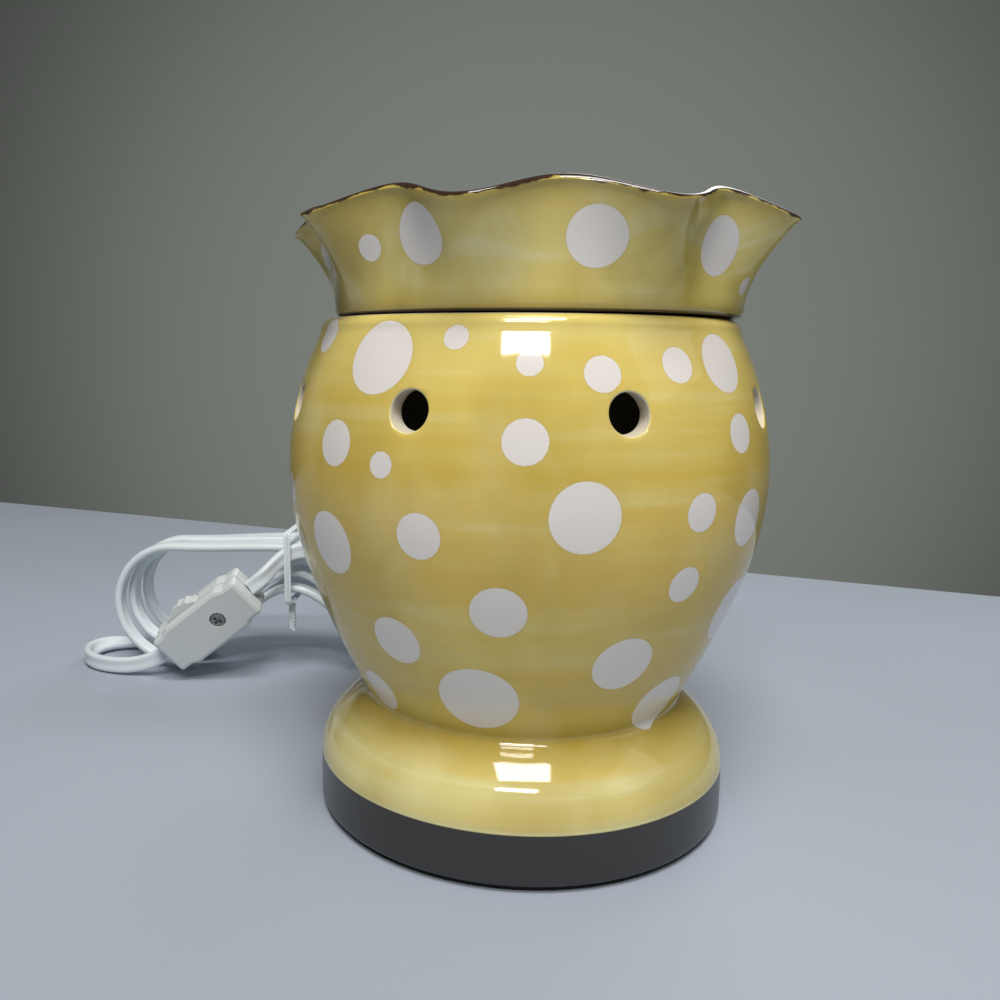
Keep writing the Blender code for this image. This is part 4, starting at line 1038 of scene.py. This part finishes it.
def hank_place(turn):
    """Place on the wound hank, by how many times the lead has gone round"""
    since = turn - 1.0 - HANK_RUN_SHARE / 2
    last = HANK_LAYERS - 2
    if since < 0.0:
        out = -since
    elif since > last:
        out = since - last
    else:
        out = 1.0 - abs(since % 2.0 - 1.0)
    outer = HANK_WAIST + HANK_RISE + HANK_STEP * out
    waist = outer - HANK_RISE
    layer = 0.0
    for change in range(1, HANK_LAYERS):
        climb = min(max((turn - change - HANK_RUN_SHARE / 2) / HANK_CLIMB_SHARE + 0.5, 0.0), 1.0)
        layer += climb * climb * (3.0 - 2.0 * climb)
    share = turn % 1.0
    side = 1.0
    if share >= 0.5:
        share -= 0.5
        side = -1.0
    if share <= HANK_RUN_SHARE:
        x = HANK_RUN * (2.0 * share / HANK_RUN_SHARE - 1.0)
        drawn = sin(0.5 * pi * x / HANK_RUN) ** 2
        across, rise = side * x, HANK_LIFT * (1.0 - drawn) - side * (waist + HANK_RISE * drawn)
    else:
        angle = pi * (share - HANK_RUN_SHARE) / (0.5 - HANK_RUN_SHARE) - pi / 2
        across, rise = side * (HANK_RUN + outer * cos(angle)), side * outer * sin(angle)
    return (HANK_X + across, HANK_BACK - HANK_LAYER_STEP * layer, HANK_Z + rise)


def lead_line(width):
    """From the back of the foot, up in front of the hank and through its tie to the switch"""
    start = EXIT_WAY * (RELIEF_TIP + GAP) + UPWARD * EXIT_HEIGHT
    end = SWITCH_TOP - SWITCH_ALONG * GAP
    tie_top = HANK_Z + HANK_LIFT
    route = [(-43.5 * MM, 72.5 * MM, 11.0 * MM),
             (-49.5 * MM, LEAD_FRONT - 2.6 * MM, 20.0 * MM),
             (-55.5 * MM, LEAD_FRONT - 0.6 * MM, 31.0 * MM),
             (-63.0 * MM, LEAD_FRONT, tie_top - 1.0 * MM),
             (-73.5 * MM, LEAD_FRONT, tie_top + 5.5 * MM),
             (HANK_X, LEAD_FRONT - 0.6 * MM, tie_top + 5.0 * MM)]
    line = stretch_between(start, EXIT_WAY, route, end, SWITCH_ALONG, width)
    return line, np.zeros(len(line))


def mains_line(width):
    """From the switch, round the left of the hank, through its turns and on to the plug"""
    start = SWITCH_TOP + SWITCH_ALONG * (SWITCH_LENGTH + GAP)
    join = Vector((HANK_X - HANK_RUN - width, HANK_BACK, HANK_Z - HANK_OUTER))
    edge = width / 2 + GAP
    along = Vector((1.0, 0.0, 0.0))
    route = [(-142.0 * MM, 73.6 * MM, edge * 1.5),
             (-154.0 * MM, 75.5 * MM, edge),
             (-164.5 * MM, 80.5 * MM, edge),
             (-170.0 * MM, 90.0 * MM, edge),
             (-166.5 * MM, 100.5 * MM, edge),
             (-157.0 * MM, HANK_BACK - 0.4 * MM, edge * 0.7)]
    link = stretch_between(start, SWITCH_ALONG, route, join, along, width)
    share = np.linspace(0.0, 1.0, len(link))
    link_tilt = 0.5 * pi * np.clip((share - 0.5) / 0.3, 0.0, 1.0)
    turns = np.linspace(0.0, HANK_LAST_TURN, HANK_POINTS)
    hank = np.array([hank_place(turn) for turn in turns])
    leave = Vector((HANK_X + HANK_RUN, HANK_FRONT, HANK_Z - HANK_OUTER))
    end = PLUG_PLACE - along * GAP
    rest = leave + along * width
    tail = stretch_between(rest, along, [tuple((rest + end) / 2)], end, along, width)
    line = np.vstack([link, hank[1:-1], tail])
    tilt = np.concatenate([link_tilt, np.full(len(hank) - 2 + len(tail), 0.5 * pi)])
    in_hank = np.zeros(len(line), bool)
    in_hank[len(link):len(line) - len(tail)] = True
    return line, tilt, in_hank


def twin_section(width, thickness):
    """Outline of two round cores side by side with a groove between, as (across width, across thickness)"""
    core = thickness / 2
    offset = width / 2 - core
    groove = 0.62 * core
    points = []
    for k in range(17):
        angle = radians(-70.0 + 140.0 * k / 16)
        points.append((offset + core * cos(angle), core * sin(angle)))
    points = [(core * 0.55, -groove * 1.12)] + points + [(core * 0.55, groove * 1.12)]
    other = [(-x, -y) for x, y in points]
    return points + other


def sweep_section(name, line, ways, section):
    """Lay a section along a line: each ring has its width along the given way"""
    count = len(line)
    ahead = unit_rows(np.gradient(line, axis=0))
    wide = unit_rows(ways - (ways * ahead).sum(1)[:, None] * ahead)
    thick = np.cross(ahead, wide)
    places = []
    for k in range(count):
        for x, y in section:
            places.append(line[k] + wide[k] * x + thick[k] * y)
    ring = len(section)
    faces = []
    for k in range(count - 1):
        for m in range(ring):
            follow = (m + 1) % ring
            faces.append((k * ring + m, k * ring + follow, (k + 1) * ring + follow, (k + 1) * ring + m))
    faces.append(tuple(range(ring - 1, -1, -1)))
    faces.append(tuple((count - 1) * ring + m for m in range(ring)))
    mesh = bpy.data.meshes.new(name)
    mesh.from_pydata([tuple(place) for place in places], [], faces)
    piece = bpy.data.objects.new(name, mesh)
    bpy.context.scene.collection.objects.link(piece)
    only(piece)
    bpy.ops.object.mode_set(mode="EDIT")
    bpy.ops.mesh.select_all(action="SELECT")
    bpy.ops.mesh.normals_make_consistent(inside=False)
    bpy.ops.object.mode_set(mode="OBJECT")
    return piece


def width_ways(line, tilt):
    """Where a cord's width points: upright where it lies on edge, level where tilted by a quarter turn"""
    ahead = unit_rows(np.gradient(line, axis=0))
    upright = np.tile(np.array((0.0, 0.0, 1.0)), (len(line), 1))
    upright -= (upright * ahead).sum(1)[:, None] * ahead
    upright /= np.maximum(np.linalg.norm(upright, axis=1), 1e-9)[:, None]
    level = np.cross(ahead, upright)
    return upright * np.cos(tilt)[:, None] - level * np.sin(tilt)[:, None]


class WARMER_OT_lead(bpy.types.Operator):
    """Lay the flat twin lead: from the foot to the switch, and from there through the hank to the plug"""
    bl_idname = "warmer.lead"
    bl_label = "Lead and hank"

    def execute(self, context):
        sizes = context.scene.warmer_sizes
        width = sizes.cord_width
        section = twin_section(width, sizes.cord_thickness)
        material = moulded_material("cord_insulation", context.scene.warmer_colours.cord, 0.32, 0.48)
        line, tilt = lead_line(width)
        lead = sweep_section("lead_to_switch", line, width_ways(line, tilt), section)
        finish_piece(lead, 50.0, material, "warmer", "cord_lead", "cord_lead")
        line, tilt, in_hank = mains_line(width)
        ways = width_ways(line, tilt)
        ways[in_hank] = (0.0, 1.0, 0.0)
        for k in range(1, len(ways)):
            if ways[k] @ ways[k - 1] < 0.0:
                ways[k] = -ways[k]
        mains = sweep_section("lead_in_hank", line, ways, section)
        finish_piece(mains, 50.0, material, "warmer", "cord_hank", "cord_link", "cord_hank", "cord_tail")
        return {"FINISHED"}


class WARMER_OT_inner_lead(bpy.types.Operator):
    """Lay the twisted pair of wires from the strain relief up into the lamp socket"""
    bl_idname = "warmer.inner_lead"
    bl_label = "Inner wires"

    def execute(self, context):
        sizes = context.scene.warmer_sizes
        level = Vector((0.0, 0.0, EXIT_HEIGHT))
        start = EXIT_WAY * (RELIEF_INSIDE - GAP) + level
        end = Vector((0.0, 0.0, sizes.floor_height + GAP))
        route = [tuple(EXIT_WAY * RELIEF_INSIDE * 0.45 + level * 0.65),
                 tuple(EXIT_WAY * RELIEF_INSIDE * 0.16 + level * 0.7),
                 (0.0, 0.0, sizes.recess_top - NIPPLE_TAIL)]
        line = stretch_between(start, EXIT_WAY * -1.0, route, end, UPWARD, sizes.cord_thickness)
        run = np.concatenate([[0.0], np.cumsum(np.linalg.norm(np.diff(line, axis=0), axis=1))])
        aside = np.array(EXIT_WAY.cross(UPWARD))
        ahead = unit_rows(np.gradient(line, axis=0))
        turn = (tau * run / WIRE_TWIST)[:, None]
        ways = aside * np.cos(turn) + np.cross(ahead, aside) * np.sin(turn)
        section = twin_section(sizes.cord_thickness, sizes.cord_thickness / 2)
        pair = sweep_section("inner_wires", line, ways, section)
        material = moulded_material("inner_wire", context.scene.warmer_colours.cord, 0.4, 0.5)
        finish_piece(pair, 50.0, material, "warmer", "inner_lead", "inner_lead")
        return {"FINISHED"}


# Tie


def tie_line():
    """Once round the waist of the hank, its ends twisted together below, and where its width points"""
    room = TIE_THICKNESS / 2 + TIE_ROOM
    reach = HANK_OUTER - HANK_RISE + TIE_ABOVE + room
    front = LEAD_FRONT - TIE_BEFORE - room
    back = HANK_BACK + TIE_BEHIND + room
    corner = TIE_CORNER
    top = HANK_Z + HANK_LIFT + reach
    bottom = HANK_Z + HANK_LIFT - reach
    near = front + TIE_THICKNESS * 6
    far = near + TIE_THICKNESS * 2
    corners = (
        ((near - corner, bottom - corner), 0.0, 90.0),
        ((front + corner, bottom + corner), 270.0, 180.0),
        ((front + corner, top - corner), 180.0, 90.0),
        ((back - corner, top - corner), 90.0, 0.0),
        ((back - corner, bottom + corner), 0.0, -90.0),
        ((far + corner, bottom - corner), 90.0, 180.0))
    places = []
    for centre, begin, finish in corners:
        places += [(HANK_X, y, z) for y, z in arc(centre, corner, begin, finish, 6)]
    ways = [(1.0, 0.0, 0.0)] * len(places)
    middle = (near + far) / 2
    for share in np.linspace(0.0, 1.0, 30)[1:]:
        angle = tau * TIE_TURNS * share
        height = bottom - corner - share * (TIE_TAIL - corner)
        aside, along = TIE_THICKNESS * sin(angle), TIE_THICKNESS * cos(angle)
        places.insert(0, (HANK_X + aside, middle - along, height))
        places.append((HANK_X - aside, middle + along, height))
        ways.insert(0, (cos(angle), sin(angle), 0.0))
        ways.append((cos(angle), sin(angle), 0.0))
    return np.array(places), np.array(ways)


class WARMER_OT_tie(bpy.types.Operator):
    """Wind the paper tie, with a rib in its middle for the wire, round the hank"""
    bl_idname = "warmer.tie"
    bl_label = "Twist tie"

    def execute(self, context):
        side = [(-TIE_HALF, -TIE_EDGE), (-0.4 * TIE_HALF, -TIE_EDGE), (-0.2 * TIE_HALF, -TIE_RIB),
                (0.2 * TIE_HALF, -TIE_RIB), (0.4 * TIE_HALF, -TIE_EDGE), (TIE_HALF, -TIE_EDGE)]
        section = side + [(-x, -y) for x, y in side]
        line, ways = tie_line()
        tie = sweep_section("paper_tie", line, ways, section)
        material = moulded_material("tie_paper", context.scene.warmer_colours.cord, 0.55, 0.75, PAPER_GRAIN)
        finish_piece(tie, 30.0, material, "warmer", "twist_tie", "twist_tie")
        return {"FINISHED"}


# Strain relief, switch and plug


class WARMER_OT_relief(bpy.types.Operator):
    """Turn the ribbed strain relief where the lead leaves the foot"""
    bl_idname = "warmer.relief"
    bl_label = "Strain relief"

    def execute(self, context):
        sizes = context.scene.warmer_sizes
        start, end = sizes.band_radius + RELIEF_ROOM, RELIEF_TIP
        tip = RELIEF_TIP_RADIUS
        taper = [(RELIEF_RADIUS, start)]
        for k in range(RELIEF_RIBS):
            place = start + (k + 1.0) * (end - start) / (RELIEF_RIBS + 1.0)
            radius = RELIEF_RADIUS + (tip - RELIEF_RADIUS) * (place - start) / (end - start)
            taper += [(radius, place - RIB_TOP), (radius - RIB_DEPTH, place - RIB_BOTTOM),
                      (radius - RIB_DEPTH, place + RIB_BOTTOM), (radius, place + RIB_TOP)]
        profile = [(0.0, end), (tip - RELIEF_EDGE, end), (tip, end - RELIEF_EDGE)] + taper[::-1]
        profile += [(RELIEF_RADIUS, RELIEF_INSIDE + FLANGE), (FLANGE_RADIUS, RELIEF_INSIDE + FLANGE),
                    (FLANGE_RADIUS, RELIEF_INSIDE), (0.0, RELIEF_INSIDE)]
        relief = turned_piece("ribbed_relief", profile, 40)
        pose = Matrix((UPWARD, EXIT_WAY.cross(UPWARD), EXIT_WAY)).transposed().to_4x4()
        pose.translation = (0.0, 0.0, EXIT_HEIGHT)
        relief.matrix_world = pose
        settle(relief)
        material = moulded_material("relief_vinyl", context.scene.warmer_colours.plastic, 0.45, 0.6)
        finish_piece(relief, 30.0, material, "warmer", "strain_relief", "strain_relief")
        return {"FINISHED"}


class WARMER_OT_screw(bpy.types.Operator):
    """Turn the switch's cross-head screw and cut the cross"""
    bl_idname = "warmer.screw"
    bl_label = "Switch screw"

    def execute(self, context):
        sizes = context.scene.warmer_sizes
        wide = sizes.screw_head / 2
        dome = []
        for step in range(10):
            angle = radians(10 * step)
            dome.append((wide * sin(angle), SCREW_TOP - wide * 0.2 * (1.0 - cos(angle))))
        shaft = wide * 0.52
        profile = dome + [(wide, SCREW_SHAFT), (shaft, SCREW_SHAFT), (shaft, 0.0), (0.0, 0.0)]
        screw = turned_piece("cross_head_screw", profile, 48)
        for turn in SCREW_SLOT_TURNS:
            bpy.ops.object.select_all(action="DESELECT")
            bpy.ops.mesh.primitive_cube_add(
                size=1.0, location=(0.0, 0.0, SCREW_TOP), rotation=(0.0, 0.0, radians(turn)))
            slot = bpy.context.object
            slot.scale = (wide * 1.3, wide * 0.28, wide * 0.8)
            settle(slot)
            subtract(screw, slot)
        pose = Matrix((SWITCH_ACROSS, SWITCH_ALONG, SWITCH_FACE)).transposed().to_4x4()
        pose.translation = SWITCH_TOP + SWITCH_ALONG * SCREW_PLACE - SWITCH_FACE * SCREW_BACK
        screw.matrix_world = pose
        settle(screw)
        steel = metal_material("dark_steel", (0.30, 0.30, 0.29, 1.0), 0.22, 0.38)
        finish_piece(screw, 30.0, steel, "warmer", "switch_screw", "switch_screw")
        return {"FINISHED"}


class WARMER_OT_switch(bpy.types.Operator):
    """Dress the in-line switch and the plug"""
    bl_idname = "warmer.switch"
    bl_label = "Switch and plug"

    def execute(self, context):
        colours = context.scene.warmer_colours
        plastic = moulded_material("white_plastic", colours.plastic, 0.35, 0.5)
        zinc = metal_material("screw_plate", (0.42, 0.42, 0.41, 1.0), 0.25, 0.4)
        brass = metal_material("blade_brass", (0.72, 0.55, 0.27, 1.0), 0.2, 0.34)
        dress_nodes(plastic, "switch_front_shell", "switch_rear_shell", "switch_wheel", "plug_body")
        dress_nodes(zinc, "switch_nut", "switch_axle")
        dress_nodes(brass, "plug_blade_narrow", "plug_blade_wide")
        return {"FINISHED"}


# Stage


CAMERA_PLACE = Vector((0.0, -249.2, 121.05)) * MM
CAMERA_PAN = radians(-5.07)
CAMERA_PITCH = radians(8.96)
CAMERA_ROLL = radians(0.459)
CAMERA_LENS = 33.3
CAMERA_SHIFT = (0.0576, -0.0009)
TABLE_TURN = radians(-18.0)
TABLE_CENTRE = (0.0, -0.95, -0.0002)
TABLE_SIZE = (3.4, 2.5, 1.0, 1.0)
Light = namedtuple("Light", "name place target size power tint")
LIGHTS = (
    Light("key_light", (-0.01, -0.76, 0.85), (0.0, 0.0, 0.09), (0.36, 0.06), 4.4, (1.0, 0.97, 0.93)),
    Light("top_light", (0.05, -0.50, 1.20), (0.0, 0.0, 0.09), (0.50, 0.40), 11.0, (1.0, 0.98, 0.95)),
    Light("side_light", (1.1, -0.2, 0.9), (0.0, 0.0, 0.08), (0.8, 0.6), 0.8, (0.95, 0.98, 1.0)),
    Light("back_light", (0.5, 1.2, 1.1), (0.0, 0.0, 0.08), (0.9, 0.6), 6.5, (0.97, 0.99, 1.0)))


def add_light(settings):
    data = bpy.data.lights.new(settings.name, "AREA")
    data.shape = "RECTANGLE"
    data.size, data.size_y = settings.size
    data.energy = settings.power
    data.color = settings.tint
    light = bpy.data.objects.new(settings.name, data)
    bpy.context.scene.collection.objects.link(light)
    aim = Vector(settings.target) - Vector(settings.place)
    light.location = settings.place
    light.rotation_euler = aim.to_track_quat("-Z", "Y").to_euler()
    return light


def table_material(colours):
    material, tree, shader = new_material("table_cover", colours.table, 0.8)
    place = object_place(tree)
    weave = stretched_noise(tree, place, 900.0, 1.0, (1.0, 0.35, 1.0))
    # Painted light and shade of soft folds in the cover: broad patches a little lighter
    fold_shading = stretched_noise(tree, place, 5.0, 2.0, EVEN)
    lighter = [value * 1.06 for value in colours.table[:3]] + [1.0]
    tint = mix_colours(tree, remap(tree, fold_shading, 0.35, 0.65), colours.table, lighter)
    tree.links.new(tint, shader.inputs["Base Color"])
    bump(tree, shader, weave, WEAVE_GRAIN, 0.25)
    return material


def room_world(colours):
    """A grey room that is brightest straight behind the warmer"""
    world = bpy.data.worlds.new("room")
    world.use_nodes = True
    tree = world.node_tree
    split = add_node(tree, "ShaderNodeSeparateXYZ")
    around = add_node(tree, "ShaderNodeTexCoord").outputs["Generated"]
    tree.links.new(around, split.inputs["Vector"])
    behind = remap(tree, split.outputs["Y"], 0.8, 1.0, 0.3, 1.0, True)
    shade = mix_colours(tree, behind, (0.0, 0.0, 0.0, 1.0), colours.room)
    tree.links.new(shade, tree.nodes["Background"].inputs["Color"])
    return world


def photo_camera():
    """The camera fitted to the outlines in the photograph"""
    lens = bpy.data.cameras.new("camera")
    lens.lens = CAMERA_LENS
    lens.sensor_width = 36.0
    lens.shift_x, lens.shift_y = CAMERA_SHIFT
    lens.clip_start = 0.01
    camera = bpy.data.objects.new("camera", lens)
    bpy.context.scene.collection.objects.link(camera)
    level = cos(CAMERA_PITCH)
    ahead = Vector((sin(CAMERA_PAN) * level, cos(CAMERA_PAN) * level, -sin(CAMERA_PITCH)))
    right = ahead.cross(UPWARD).normalized()
    up = right.cross(ahead)
    rolled_right = right * cos(CAMERA_ROLL) + up * sin(CAMERA_ROLL)
    rolled_up = up * cos(CAMERA_ROLL) - right * sin(CAMERA_ROLL)
    pose = Matrix((rolled_right, rolled_up, -ahead)).transposed().to_4x4()
    pose.translation = CAMERA_PLACE
    camera.matrix_world = pose
    return camera


class WARMER_OT_stage(bpy.types.Operator):
    """Set the table, the room, the lights and the camera"""
    bl_idname = "warmer.stage"
    bl_label = "Table, light and camera"

    def execute(self, context):
        colours = context.scene.warmer_colours
        bpy.ops.object.select_all(action="DESELECT")
        bpy.ops.mesh.primitive_plane_add(size=1.0, location=(0.0, 0.0, 0.0))
        table = bpy.context.object
        table.name = "table"
        table.matrix_world = (Matrix.Rotation(TABLE_TURN, 4, "Z") @ Matrix.Translation(TABLE_CENTRE)
                              @ Matrix.Diagonal(TABLE_SIZE))
        settle(table)
        dress(table, table_material(colours))
        context.scene.world = room_world(colours)
        context.scene.view_settings.view_transform = "Standard"
        [add_light(settings) for settings in LIGHTS]
        context.scene.camera = photo_camera()
        return {"FINISHED"}


class WARMER_PT_panel(bpy.types.Panel):
    """Sizes, colours and the steps that build the warmer"""
    bl_idname = "WARMER_PT_panel"
    bl_label = "Wax Warmer"
    bl_space_type = "VIEW_3D"
    bl_region_type = "UI"
    bl_category = "Warmer"

    def draw(self, context):
        for step in OPERATORS:
            self.layout.operator(step.bl_idname)
        for settings in (context.scene.warmer_sizes, context.scene.warmer_colours):
            column = self.layout.column()
            for key in settings.__annotations__:
                column.prop(settings, key)


OPERATORS = (WARMER_OT_body, WARMER_OT_dish, WARMER_OT_inside, WARMER_OT_bulb, WARMER_OT_inner_lead,
             WARMER_OT_relief, WARMER_OT_switch, WARMER_OT_screw, WARMER_OT_tie, WARMER_OT_lead,
             WARMER_OT_stage)
CLASSES = (WarmerSizes, WarmerColours) + OPERATORS + (WARMER_PT_panel,)


def register():
    for item in CLASSES:
        bpy.utils.register_class(item)
    bpy.types.Scene.warmer_sizes = bpy.props.PointerProperty(type=WarmerSizes)
    bpy.types.Scene.warmer_colours = bpy.props.PointerProperty(type=WarmerColours)


def unregister():
    del bpy.types.Scene.warmer_colours
    del bpy.types.Scene.warmer_sizes
    for item in reversed(CLASSES):
        bpy.utils.unregister_class(item)


def main():
    register()
    bpy.ops.warmer.body()
    bpy.ops.warmer.dish()
    bpy.ops.warmer.inside()
    bpy.ops.warmer.bulb()
    bpy.ops.warmer.inner_lead()
    bpy.ops.warmer.relief()
    bpy.ops.warmer.switch()
    bpy.ops.warmer.screw()
    bpy.ops.warmer.tie()
    bpy.ops.warmer.lead()
    bpy.ops.warmer.stage()


if __name__ == "__main__":
    main()
